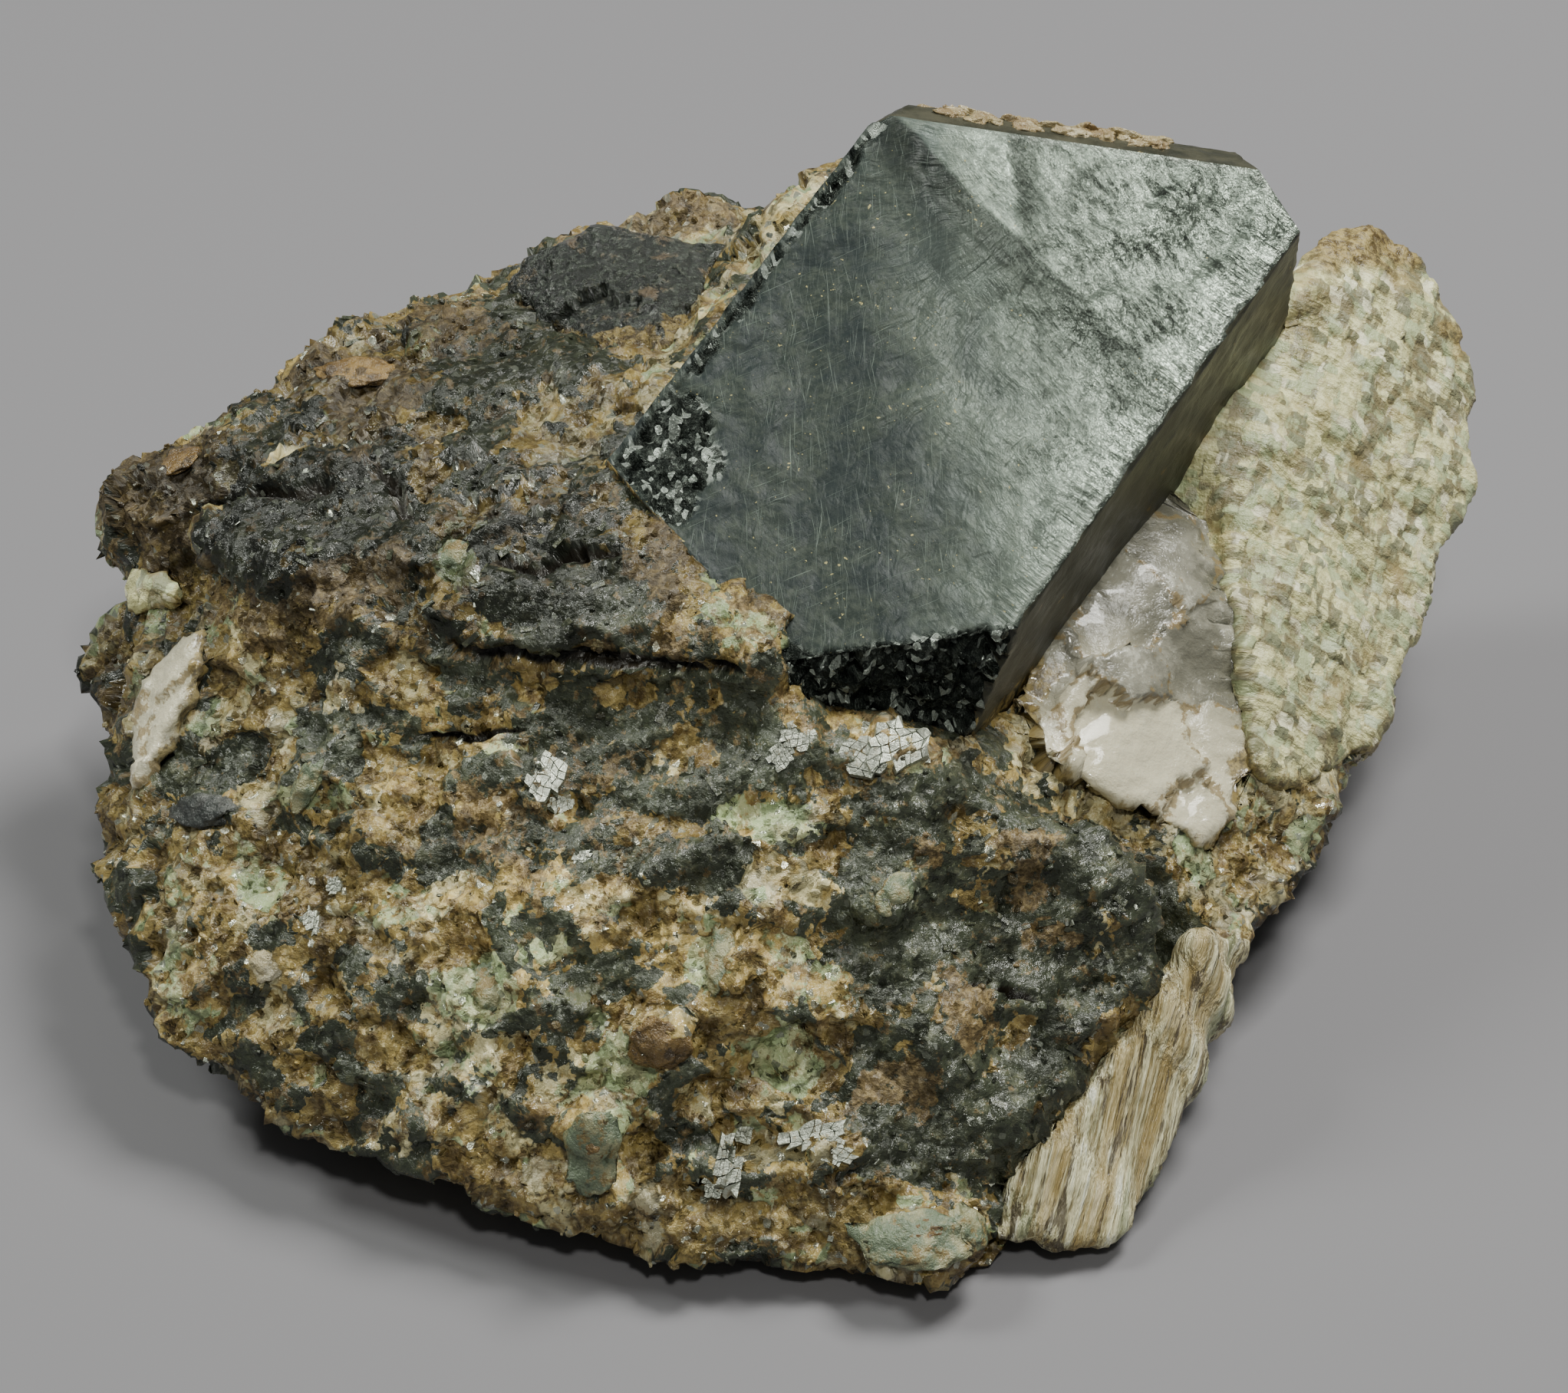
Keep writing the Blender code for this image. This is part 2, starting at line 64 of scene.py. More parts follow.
# What covers the rock besides its ochre grains, in the order of the channels of its attribute
COVERS = ("dark", "crust", "pale", "green")

# How much of each there is where no patch says otherwise, and on the rock's unseen sides
USUAL_SHARES = (0.22, 0.20, 0.28, 0.20)

# What each kind of patch lays over the rock, and what it takes away
RAISES = {"dark": "dark", "black": "dark", "crust": "crust", "pale": "pale", "green": "green"}
LOWERS = {
    "dark": ("pale", "green", "crust"), "black": ("pale", "green", "crust"), "crust": ("pale", "green"),
    "pale": ("dark", "crust"), "green": ("dark", "crust"), "ochre": ("dark", "crust", "pale", "green"),
}

# Patches on the rock's photographed side, later ones over earlier ones: the kind, how pure the patch is,
# its middle, its two radii in pixels of the photograph, and its turn in degrees
PATCHES = (
    # The broad crust patch over the upper left also darkens it, partly as painted shade
    ("crust", 0.50, (480, 600), (420, 260), 10),
    ("dark", 0.60, (600, 650), (350, 190), 10),
    ("crust", 0.35, (940, 900), (330, 150), 0),
    ("dark", 0.30, (760, 930), (400, 150), 0),
    ("crust", 0.60, (215, 650), (100, 90), 30),
    ("ochre", 0.30, (440, 470), (220, 70), 20),
    ("pale", 0.60, (290, 618), (24, 38), 20),
    ("crust", 0.80, (465, 492), (90, 34), 12),
    ("dark", 0.75, (480, 425), (70, 24), 8),
    ("dark", 0.80, (335, 572), (54, 28), -5),
    ("dark", 0.85, (374, 690), (128, 84), -12),
    ("crust", 0.90, (420, 785), (120, 52), -28),
    ("dark", 0.85, (515, 595), (36, 50), -10),
    ("crust", 0.85, (466, 567), (20, 60), -20),
    ("black", 0.85, (573, 528), (38, 18), 5),
    ("dark", 0.80, (690, 470), (150, 70), 20),
    ("crust", 0.60, (600, 420), (70, 50), 0),
    ("crust", 0.90, (892, 272), (76, 34), 0),
    ("black", 0.90, (700, 380), (70, 60), -30),
    ("pale", 0.65, (750, 545), (84, 56), -14),
    ("pale", 0.70, (880, 520), (48, 95), 32),
    ("pale", 0.60, (1010, 290), (40, 90), 40),
    ("dark", 0.85, (735, 775), (118, 85), 0),
    ("crust", 0.85, (866, 730), (44, 56), 0),
    ("green", 0.60, (930, 733), (46, 34), 0),
    ("black", 0.95, (860, 600), (64, 70), 24),
    ("green", 0.85, (588, 716), (30, 42), 0),
    ("black", 0.95, (422, 840), (58, 26), -12),
    ("ochre", 0.70, (517, 811), (52, 26), 0),
    ("black", 0.85, (436, 965), (40, 52), 0),
    ("pale", 0.75, (315, 940), (74, 40), 0),
    ("dark", 0.85, (262, 1000), (84, 40), -8),
    ("dark", 0.80, (850, 920), (170, 50), -6),
    ("black", 0.75, (980, 985), (110, 50), 10),
    ("black", 0.95, (1240, 885), (100, 62), -18),
    ("crust", 0.60, (700, 1080), (150, 70), 0),
    ("dark", 0.60, (900, 1090), (260, 70), 0),
    ("ochre", 0.45, (420, 1200), (250, 110), 0),
    ("ochre", 0.60, (860, 1330), (170, 120), 0),
    ("ochre", 0.70, (940, 1590), (330, 80), 10),
    ("pale", 0.70, (624, 1357), (62, 34), -40),
    ("pale", 0.80, (346, 1260), (24, 22), 0),
    ("black", 0.85, (573, 1102), (28, 46), 10),
    ("black", 0.80, (481, 1117), (28, 18), -15),
    ("black", 0.80, (380, 1071), (30, 30), 0),
    ("black", 0.95, (652, 1224), (13, 56), -8),
    ("black", 0.90, (726, 1240), (46, 34), 24),
    ("black", 0.90, (780, 1286), (56, 26), -4),
    ("black", 0.85, (701, 1316), (20, 26), 0),
    ("black", 0.95, (553, 1298), (20, 20), 0),
    ("black", 0.90, (303, 1326), (40, 22), -24),
    ("black", 0.90, (436, 1357), (26, 36), 0),
    ("black", 0.90, (476, 1408), (50, 30), 24),
    ("dark", 0.85, (350, 1405), (60, 26), 26),
    ("black", 0.75, (180, 1158), (26, 32), 0),
    ("black", 0.80, (471, 1235), (20, 26), 0),
    ("green", 0.75, (399, 1021), (16, 30), 20),
    ("green", 0.75, (938, 1270), (34, 72), -8),
    ("green", 0.70, (1015, 1068), (36, 36), 0),
    ("green", 0.65, (1150, 1185), (56, 50), 0),
    ("green", 0.75, (632, 1290), (34, 50), 10),
    ("green", 0.60, (1010, 1400), (60, 80), 0),
    ("green", 0.50, (770, 1370), (60, 70), 0),
    ("dark", 0.98, (1300, 1200), (225, 160), 22),
    ("dark", 0.98, (1450, 1195), (128, 100), 8),
    ("dark", 0.98, (1245, 1400), (170, 150), 0),
    ("dark", 0.95, (1290, 1060), (120, 95), -20),
    ("crust", 0.90, (1172, 1414), (60, 46), 10),
    ("crust", 0.90, (1262, 1311), (30, 64), -28),
    ("crust", 0.85, (1340, 1136), (28, 58), -15),
    ("crust", 0.80, (1362, 1220), (46, 13), 4),
    ("crust", 0.80, (1198, 1107), (18, 26), 0),
    ("crust", 0.60, (1640, 1240), (70, 130), 20),
    ("pale", 0.85, (1600, 1150), (66, 56), 10),
    ("pale", 0.80, (1370, 970), (90, 60), -30),
    ("pale", 0.80, (1480, 1030), (110, 60), 40),
)

# Patches on the rock's unseen sides: the kind, how pure they are, their size in millimetres, and the offset
# of their noise
HIDDEN_PATCHES = (("crust", 0.5, 13.0, 3.0), ("dark", 0.9, 10.0, 17.0), ("pale", 0.5, 7.0, 60.0))

# Painted shade and light: where the rock is made darker or lighter than elsewhere. The factor, middle and
# radii in pixels, turn in degrees
SHADES = (
    (0.52, (520, 590), (460, 230), 10), (0.62, (215, 640), (130, 90), 10), (0.70, (880, 300), (110, 60), 0),
    (0.60, (420, 630), (150, 90), 0), (0.60, (710, 720), (140, 80), 0), (0.72, (510, 480), (150, 50), -8),
    (0.55, (165, 850), (80, 100), 0), (1.45, (780, 970), (400, 110), 4), (1.40, (780, 1370), (300, 220), 4),
    (1.20, (860, 1180), (400, 90), 4), (1.10, (1300, 1200), (260, 230), 10),
)

# Open cracks in the rock, sunk into it and painted black as shade: depth in millimetres, then middle and
# radii in pixels, and turn in degrees
CRACK_DEPTH = 1.2
CRACKS = (
    ((777, 864), (205, 9), 4), ((726, 727), (92, 7), -7), ((834, 660), (52, 6), 6), ((515, 640), (60, 6), 60),
    ((352, 640), (90, 6), -12), ((1310, 1290), (46, 6), 12), ((610, 960), (80, 6), -8),
)

# Where the blade's surface is broken, rough and glittering: middle and radii in pixels, and turn in degrees
BLADE_BREAKS = (
    ((866, 600), (64, 92), 24), ((1000, 860), (70, 44), 30), ((1130, 900), (110, 34), -8),
)

# Silvery mica books on the rock: middle in pixels of the photograph, radii in millimetres, turn in degrees
MICA_BOOKS = (
    ((1172, 968), (2.0, 1.5), 25), ((1128, 988), (1.5, 1.2), -20), ((1128, 946), (1.0, 0.8), 50),
    ((1040, 960), (1.1, 0.9), 10), ((1018, 985), (0.9, 0.7), 40), ((711, 1014), (1.5, 1.0), 70),
    ((726, 1046), (1.0, 0.7), 20), ((1058, 1480), (2.0, 0.8), 12), ((1088, 1500), (1.3, 0.8), -20),
    ((950, 1520), (0.8, 1.9), 6), ((968, 1470), (0.7, 0.9), 0), ((932, 1545), (0.8, 0.7), 0),
    ((760, 1120), (0.7, 0.5), 0), ((406, 1200), (0.5, 0.9), 10), ((436, 1155), (0.5, 0.5), 0),
)

# Rounded grains: kind, middle in pixels, long and short radius and height in millimetres, turn in degrees
LUMPS = (
    ("green", (772, 1494), (2.9, 1.6, 0.40), 82), ("brown", (775, 1496), (0.8, 0.65, 0.55), 10),
    ("green", (1186, 1616), (3.1, 1.7, 0.50), 0), ("brown", (1212, 1608), (1.5, 0.9, 0.66), 14),
    ("green", (1262, 1602), (1.3, 1.4, 0.50), 60), ("green", (938, 1250), (2.2, 0.8, 0.45), 84),
    ("green", (1166, 1166), (1.5, 0.9, 0.45), 50), ("green", (399, 1024), (1.6, 0.7, 0.5), 64),
    ("green", (632, 1290), (1.9, 1.0, 0.4), 70), ("green", (592, 722), (1.2, 1.0, 0.4), 20),
    ("brown", (859, 1362), (1.7, 1.5, 0.5), 10), ("brown", (470, 485), (2.6, 1.1, 0.4), -10),
    ("brown", (236, 600), (1.4, 1.3, 0.4), 40), ("white", (346, 1260), (1.0, 0.9, 0.3), 0),
    ("grey", (267, 1056), (2.2, 1.1, 0.8), -12),
)

# Points of the tan crust along the blade's top edge, in pixels
CRUST = (
    (1232, 138), (1250, 134), (1268, 137), (1284, 143), (1298, 150), (1316, 152), (1340, 154), (1362, 158),
    (1388, 157), (1404, 155), (1422, 158), (1440, 163), (1458, 167), (1478, 170), (1496, 172), (1516, 176),
    (1380, 164), (1410, 166), (1330, 160), (1276, 148),
)
BLADE_EDGE_DEPTH = 0.329        # how far from the camera the blade's top edge is, in metres

# Where the fracture of the blade's face began, a hollow that it left, and the face's crease, in millimetres
# of the blade's own frame
SHELL_ORIGIN = (-1.7, 19.0)
BOWL_MIDDLE, BOWL_RADIUS = (7.8, 16.8), 4.4
CREASE_POINT, CREASE_ACROSS = (-14.3, 12.2), (0.835, 0.551)

# Two edges of the facet near the blade's upper left corner, painted bright as a highlight with painted shade
# beside it: a point of each and what lies across it
FACET_POINT, FACET_ACROSS = (-11.4, 13.7), (0.29, 0.957)
ARC_POINT, ARC_ACROSS = (-6.3, 16.0), (0.792, 0.611)

# Faces of the blade that point less than this along its own Z are not its big face
FACE_LIMIT = 0.86

# Rusty stains on the slab: middle and radii in pixels, turn in degrees, and strength
STAINS = (
    ((1780, 312), (88, 40), 8, 0.95), ((1725, 330), (40, 34), 30, 0.85), ((1895, 428), (12, 26), -20, 0.8),
    ((1560, 905), (30, 16), 30, 0.6), ((1700, 420), (20, 50), 10, 0.5),
)

# Directions of the feldspar's cleavage: along the slab and across it
ALONG_SLAB = Vector((0.30, 0.88, 0.37)).normalized()
ACROSS_SLAB = Vector((0.92, -0.36, 0.12)).normalized()

# Size of the quartz's smooth pieces, in millimetres
QUARTZ_PLATE = 6.4

# Direction of the tremolite's fibres
FIBRES = Vector((-0.24, -0.77, -0.59)).normalized()

# Each light: its place and aim in metres, width and depth in metres, watts, and colour
LIGHTS = (
    ("right softbox", (0.175, 0.165, 0.46), (0.02, 0.0, 0.02), (0.16, 0.18), 3.4, (1.0, 1.0, 0.94)),
    ("left softbox", (-0.30, 0.12, 0.40), (0.0, 0.0, 0.02), (0.14, 0.14), 1.6, (0.97, 1.0, 0.93)),
    ("glitter lamp", (0.05, -0.26, 0.46), (0.0, 0.0, 0.01), (0.05, 0.05), 0.9, (1.0, 1.0, 0.92)),
)


class SpecimenSizes(bpy.types.PropertyGroup):
    """Sizes of the relief, of the grains and of the view"""

    rock_cell: FloatProperty(
        name="Rock Cell", description="Size of the cells of the rock's surface",
        default=0.00048, min=0.0003, max=0.003, unit="LENGTH")
    mineral_cell: FloatProperty(
        name="Mineral Cell", description="Size of the cells of the other minerals' surfaces",
        default=0.00034, min=0.0002, max=0.003, unit="LENGTH")
    coarse_grain: FloatProperty(
        name="Coarse Grain", description="Size of the rock's larger grains",
        default=0.0027, min=0.0005, max=0.02, unit="LENGTH")
    fine_grain: FloatProperty(
        name="Fine Grain", description="Size of the rock's smaller grains",
        default=0.0010, min=0.0002, max=0.01, unit="LENGTH")
    glitter: FloatProperty(
        name="Glitter", description="Size of the smallest facets, which glitter",
        default=0.00036, min=0.0001, max=0.01, unit="LENGTH")
    lath_length: FloatProperty(
        name="Lath Length", description="Length of the longest amphibole laths on the rock",
        default=0.0013, min=0.0005, max=0.02, unit="LENGTH")
    view_width: FloatProperty(
        name="View Width", description="Width of what the camera sees at the specimen",
        default=0.0954, min=0.02, max=1.0, unit="LENGTH")
    view_elevation: FloatProperty(
        name="View Elevation", description="Angle at which the camera looks down",
        default=math.radians(40.0), subtype="ANGLE")
    view_lens: FloatProperty(
        name="Lens", description="Focal length of the camera in millimetres",
        default=120.0, min=20.0, max=300.0)
    seed: IntProperty(name="Seed", description="Seed of what is scattered", default=4)


class SpecimenColours(bpy.types.PropertyGroup):
    """Colours of the minerals"""

    def _colour(name, description, value):
        return FloatVectorProperty(
            name=name, description=description, subtype="COLOR", size=3, min=0.0, max=1.0, default=value)

    allanite: _colour("Allanite", "Dark crystal", (0.024, 0.032, 0.028))
    scratch: _colour("Scratches", "Fine pale scratches on the dark crystal", (0.24, 0.29, 0.25))
    dark: _colour("Amphibole", "Green-black grains", (0.034, 0.040, 0.025))
    dark_light: _colour("Amphibole Edge", "Lighter parts of the green-black grains", (0.112, 0.118, 0.068))
    crust: _colour("Rusty Crust", "Rusty brown, mealy crust", (0.092, 0.060, 0.021))
    crust_light: _colour("Light Crust", "Lighter crumbs of the crust", (0.250, 0.180, 0.078))
    ochre: _colour("Ochre", "Yellow-brown grains", (0.34, 0.255, 0.090))
    ochre_dark: _colour("Dark Ochre", "Darker parts of the yellow-brown grains", (0.150, 0.102, 0.034))
    pale: _colour("Feldspar", "Cream grains", (0.52, 0.475, 0.270))
    green: _colour("Green Grains", "Pale green grains", (0.22, 0.30, 0.160))
    quartz: _colour("Quartz", "Milky quartz", (0.31, 0.300, 0.240))
    mica: _colour("Silver Mica", "Silvery mica books", (0.47, 0.50, 0.42))
    floor: _colour("Floor", "Plain floor", (0.180, 0.176, 0.190))


class Value:
    """A node's output with Python's arithmetic: each operator adds a Math node."""

    def __init__(self, graph, socket):
        self.graph = graph
        self.socket = socket

    def output(self, name):
        """Another output of the same node."""
        return Value(self.graph, self.socket.node.outputs[name])

    def _math(self, operation, first, second):
        return self.graph.node("ShaderNodeMath", {"operation": operation}, {0: first, 1: second})

    def __add__(self, other):
        return self._math("ADD", self, other)

    def __sub__(self, other):
        return self._math("SUBTRACT", self, other)

    def __rsub__(self, other):
        return self._math("SUBTRACT", other, self)

    def __mul__(self, other):
        return self._math("MULTIPLY", self, other)

    def __gt__(self, other):
        return self._math("GREATER_THAN", self, other)

    __radd__ = __add__
    __rmul__ = __mul__

    def at_most(self, other):
        return self._math("MINIMUM", self, other)

    def at_least(self, other):
        return self._math("MAXIMUM", self, other)

    def stepped(self, steps):
        """This value cut down to a number of even steps."""
        return self._math("FLOOR", self * steps, 0.0) * (1.0 / steps)

    def between(self, low, high, start=0.0, end=1.0):
        """Runs smoothly from start to end as this goes from low to high."""
        inputs = {"Value": self, "From Min": low, "From Max": high, "To Min": start, "To Max": end}
        return self.graph.node("ShaderNodeMapRange", {"interpolation_type": "SMOOTHSTEP"}, inputs)


class Graph:
    """A node tree that is being built, of a material or of Geometry Nodes."""

    def __init__(self, tree):
        self.tree = tree

    def node(self, kind, settings=None, inputs=None, output=0):
        """Adds a node with its settings, then its sockets' values or links, and gives one output."""
        made = self.tree.nodes.new(kind)
        for name, value in (settings or {}).items():
            setattr(made, name, value)
        for key, value in (inputs or {}).items():
            if isinstance(value, Value):
                self.tree.links.new(value.socket, made.inputs[key])
            else:
                made.inputs[key].default_value = value
        return Value(self, made.outputs[output])

    def vector(self, operation, first, second=(0.0, 0.0, 0.0)):
        output = "Value" if operation in ("DOT_PRODUCT", "LENGTH") else "Vector"
        return self.node("ShaderNodeVectorMath", {"operation": operation}, {0: first, 1: second}, output)

    def scaled(self, vector, factor):
        return self.node("ShaderNodeVectorMath", {"operation": "SCALE"}, {0: vector, "Scale": factor})

    def part(self, vector, axis):
        return self.node("ShaderNodeSeparateXYZ", None, {0: vector}, axis)

    def joined(self, x, y, z):
        return self.node("ShaderNodeCombineXYZ", None, {0: x, 1: y, 2: z})

    def mixed(self, share, first, second, blend="MIX"):
        """A colour between two colours, or with the second laid over the first by a blend mode."""
        settings = {"data_type": "RGBA", "blend_type": blend}
        return self.node("ShaderNodeMix", settings, {0: share, 6: rgba(first), 7: rgba(second)}, 2)

    def number(self, share, first, second):
        """A number between two numbers."""
        return self.node("ShaderNodeMix", {"data_type": "FLOAT"}, {0: share, 2: first, 3: second})

    def direction(self, share, first, second):
        """A vector between two vectors."""
        return self.node("ShaderNodeMix", {"data_type": "VECTOR"}, {0: share, 4: first, 5: second}, 1)

    def noise(self, place, size, detail=2.0, roughness=0.5):
        """Noise from 0 to 1 with features of a size in millimetres."""
        inputs = {"Vector": place, "Scale": 1.0 / size, "Detail": detail, "Roughness": roughness}
        return self.node("ShaderNodeTexNoise", None, inputs)

    def cells(self, place, size, feature="F1"):
        """Cells of a size in millimetres, with outputs Distance, Color and Position; or, with the feature
        DISTANCE_TO_EDGE, how far off their edges are."""
        return self.node("ShaderNodeTexVoronoi", {"feature": feature}, {"Vector": place, "Scale": 1.0 / size})

    def bricks(self, place):
        """Square cells of about one unit, with outputs Distance, Color and Position."""
        inputs = {"Vector": place, "Scale": 1.0, "Randomness": 0.55}
        return self.node("ShaderNodeTexVoronoi", {"distance": "CHEBYCHEV"}, inputs)

    def lean(self, cells):
        """A random direction and strength for each cell."""
        return self.vector("SUBTRACT", cells.output("Color"), (0.5, 0.5, 0.5))

    def tilt(self, cells, place):
        """Heights of flat tops that lean their own way around each cell's middle."""
        beside = self.vector("SUBTRACT", place, cells.output("Position"))
        return self.vector("DOT_PRODUCT", self.lean(cells), beside)

    def bump(self, height, distance, normal=None):
        inputs = {"Height": height, "Distance": distance, "Strength": 1.0}
        if normal:
            inputs["Normal"] = normal
        return self.node("ShaderNodeBump", None, inputs)

    def attribute(self, name, output="Vector"):
        return self.node("ShaderNodeAttribute", {"attribute_name": name}, None, output)

    def named(self, name, data_type="FLOAT"):
        """A mesh's attribute in Geometry Nodes."""
        return self.node("GeometryNodeInputNamedAttribute", {"data_type": data_type}, {"Name": name})


def rgba(colour):
    """A colour as a node's socket takes it: a link as it is, and three numbers with a fourth."""
    if isinstance(colour, Value) or len(colour) == 4:
        return colour
    return (*colour, 1.0)


def sizes():
    return bpy.context.scene.specimen_sizes


def colours():
    return bpy.context.scene.specimen_colours


def new_material(name, build):
    """A material whose Principled BSDF gets what build(graph) gives: a dict of its sockets."""
    material = bpy.data.materials.new(name)
    material.use_nodes = True
    shader = material.node_tree.nodes["Principled BSDF"]
    graph = Graph(material.node_tree)
    for key, value in build(graph).items():
        if isinstance(value, Value):
            graph.tree.links.new(value.socket, shader.inputs[key])
        else:
            shader.inputs[key].default_value = rgba(value) if key == "Base Color" else value
    return material


def new_tree(name, values, build, material):
    """A Geometry Nodes tree with named inputs, which gives what build(graph, geometry, inputs) makes as real
    geometry with a material."""
    tree = bpy.data.node_groups.new(name, "GeometryNodeTree")
    graph = Graph(tree)
    tree.interface.new_socket("Geometry", in_out="INPUT", socket_type="NodeSocketGeometry")
    for key, value in values.items():
        kind = "NodeSocketInt" if isinstance(value, int) else "NodeSocketFloat"
        tree.interface.new_socket(key, in_out="INPUT", socket_type=kind).default_value = value
    source = graph.node("NodeGroupInput")
    made = build(graph, source, {key: source.output(key) for key in values})
    real = graph.node("GeometryNodeRealizeInstances", None, {"Geometry": made})
    painted = graph.node("GeometryNodeSetMaterial", None, {"Geometry": real, "Material": material})
    tree.interface.new_socket("Geometry", in_out="OUTPUT", socket_type="NodeSocketGeometry")
    tree.links.new(painted.socket, tree.nodes.new("NodeGroupOutput").inputs[0])
    return tree


def relief_tree(name, values, height_of, material):
    """A tree that keeps each point's place as the attribute rest, and moves the point out of the surface by
    height_of(graph, place, inputs) millimetres. The surface sinks unevenly where the attribute rim is 1, and
    by as many millimetres as the attribute cut says."""
    def build(graph, geometry, inputs):
        place = graph.scaled(graph.node("GeometryNodeInputPosition"), 1.0 / MM)
        kept = graph.node(
            "GeometryNodeStoreNamedAttribute", {"data_type": "FLOAT_VECTOR", "domain": "POINT"},
            {"Geometry": geometry, "Name": "rest", "Value": place})
        sunk = graph.named("rim") * (graph.noise(place, 2.4, 3.0, 0.6) - 0.36) * 2.2
        height = height_of(graph, place, inputs) * graph.named("reach") - sunk - graph.named("cut")
        offset = graph.scaled(graph.node("GeometryNodeInputNormal"), height * MM)
        return graph.node("GeometryNodeSetPosition", None, {"Geometry": kept, "Offset": offset})
    return new_tree(name, values, build, material)


def evaluated(obj):
    """Replaces an object's mesh by the result of its modifiers, which are removed."""
    graph = bpy.context.evaluated_depsgraph_get()
    mesh = bpy.data.meshes.new_from_object(
        obj.evaluated_get(graph), preserve_all_data_layers=True, depsgraph=graph)
    obj.modifiers.clear()
    obj.data = mesh
    return obj


def grown(obj, tree, values=None):
    """Runs a Geometry Nodes tree on an object, with some of its inputs set."""
    modifier = obj.modifiers.new(tree.name, "NODES")
    modifier.node_group = tree
    for item in tree.interface.items_tree:
        if item.in_out == "INPUT" and values and item.name in values:
            modifier[item.identifier] = values[item.name]
    return evaluated(obj)


def new_object(name, mesh):
    obj = bpy.data.objects.new(name, mesh)
    bpy.context.scene.collection.objects.link(obj)
    return obj


def object_from(name, bm):
    mesh = bpy.data.meshes.new(name)
    bm.to_mesh(mesh)
    bm.free()
    return new_object(name, mesh)


def merged(node):
    """The solid of a node as a bmesh with its points merged."""
    bm = bmesh.new()
    bm.from_mesh(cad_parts[node].data)
    bmesh.ops.remove_doubles(bm, verts=bm.verts, dist=1e-6)
    return bm


def even_surface(obj, cell, smoothing):
    """Gives a closed object an even mesh of small cells, with its old facets smoothed over."""
    remesh = obj.modifiers.new("even", "REMESH")
    remesh.mode = "VOXEL"
    remesh.voxel_size = cell
    smooth = obj.modifiers.new("smooth", "SMOOTH")
    smooth.factor = 0.5
    smooth.iterations = smoothing
    return evaluated(obj)


def read_vectors(data, field):
    """A mesh's points' places or normals as an array."""
    values = np.empty(len(data) * 3)
    data.foreach_get(field, values)
    return values.reshape(-1, 3)


def points_of(obj):
    return read_vectors(obj.data.vertices, "co")


def normals_of(obj):
    return read_vectors(obj.data.vertices, "normal")


def set_points(obj, points):
    obj.data.vertices.foreach_set("co", points.ravel())
    obj.data.update()


def set_attribute(obj, name, kind, values):
    """Stores a value for each point: FLOAT, FLOAT_VECTOR or FLOAT_COLOR."""
    field = {"FLOAT": "value", "FLOAT_VECTOR": "vector", "FLOAT_COLOR": "color"}[kind]
    attribute = obj.data.attributes.new(name, kind, "POINT")
    attribute.data.foreach_set(field, np.ascontiguousarray(values, dtype=np.float32).ravel())


def tree_of(obj):
    """What finds the nearest point of an object, or where a ray meets it."""
    return BVHTree.FromObject(obj, bpy.context.evaluated_depsgraph_get())


def smoothstep(low, high, value):
    share = np.clip((value - low) / (high - low), 0.0, 1.0)
    return share * share * (3.0 - 2.0 * share)


def noise_at(points, size, offset=0.0):
    """Smooth noise from about -1 to 1 at each point in millimetres, with features of a size."""
    shift = Vector((offset, offset * 0.37, -offset))
    return np.array([noise.noise(Vector(p) / size + shift) for p in points])


def nearness(points, tree, near, far):
    """How near each point is to a surface: 1 at the distance near or closer, and 0 at far or further."""
    distances = np.full(len(points), far)
    for i, point in enumerate(points):
        distance = tree.find_nearest(Vector(point), far)[3]
        if distance is not None:
            distances[i] = distance
    return 1.0 - smoothstep(near, far, distances)


def drawn_to(points, tree, reach, inside):
    """Points moved onto a surface, and a little inside, where they lie closer to it than reach."""
    drawn = points.copy()
    for i, point in enumerate(points):
        nearest, out, _, distance = tree.find_nearest(Vector(point), reach)
        if nearest is not None:
            pull = 1.0 - smoothstep(0.6 * reach, reach, distance)
            drawn[i] += (np.array(nearest - out * inside) - point) * pull
    return drawn


def camera_axes():
    """The camera's place and its right, up and back directions."""
    elevation = sizes().view_elevation
    back = Vector((0.0, -math.cos(elevation), math.sin(elevation)))
    right = Vector((1.0, 0.0, 0.0))
    aim = Vector((-0.0006, -0.0036, 0.0200))
    distance = sizes().view_width * sizes().view_lens / SENSOR
    return aim + back * distance, right, back.cross(right), back


def pixels_of(points):
    """Where points in metres show in the photograph."""
    place, right, up, back = (np.array(v) for v in camera_axes())
    offset = points - place
    scale = sizes().view_lens / SENSOR * PHOTO_WIDTH / -(offset @ back)
    return offset @ right * scale + PHOTO_WIDTH / 2, PHOTO_HEIGHT / 2 - offset @ up * scale


def ray_through(pixel):
    """The camera's place and the direction through a pixel of the photograph."""
    place, right, up, back = camera_axes()
    scale = SENSOR / sizes().view_lens / PHOTO_WIDTH
    across = (pixel[0] - PHOTO_WIDTH / 2) * scale
    upward = (PHOTO_HEIGHT / 2 - pixel[1]) * scale
    return place, (right * across + up * upward - back).normalized()


def seen_at(trees, pixel):
    """The nearest surface behind a pixel of the photograph: a point, and the way out of the surface
    around it."""
    place, ray = ray_through(pixel)
    hits = [(tree.ray_cast(place, ray), tree) for tree in trees]
    hits = [(hit[3], hit[0], tree) for hit, tree in hits if hit[0]]
    if not hits:
        raise ValueError(f"no surface behind pixel {pixel}")
    _, point, tree = min(hits, key=lambda hit: hit[0])
    out = sum((near[1] for near in tree.find_nearest_range(point, 1.6 * MM)), Vector())
    return point, out.normalized()


def wavering_pixels(points, spots, waves):
    """Where points show in the photograph, moved about by noise at their spots in millimetres. Each wave has
    the size of its features, the noise's offsets for x and y, and its reach in pixels."""
    x, y = pixels_of(points)
    for size, x_offset, y_offset, reach in waves:
        x = x + noise_at(spots, size, x_offset) * reach
        y = y + noise_at(spots, size, y_offset) * reach
    return x, y


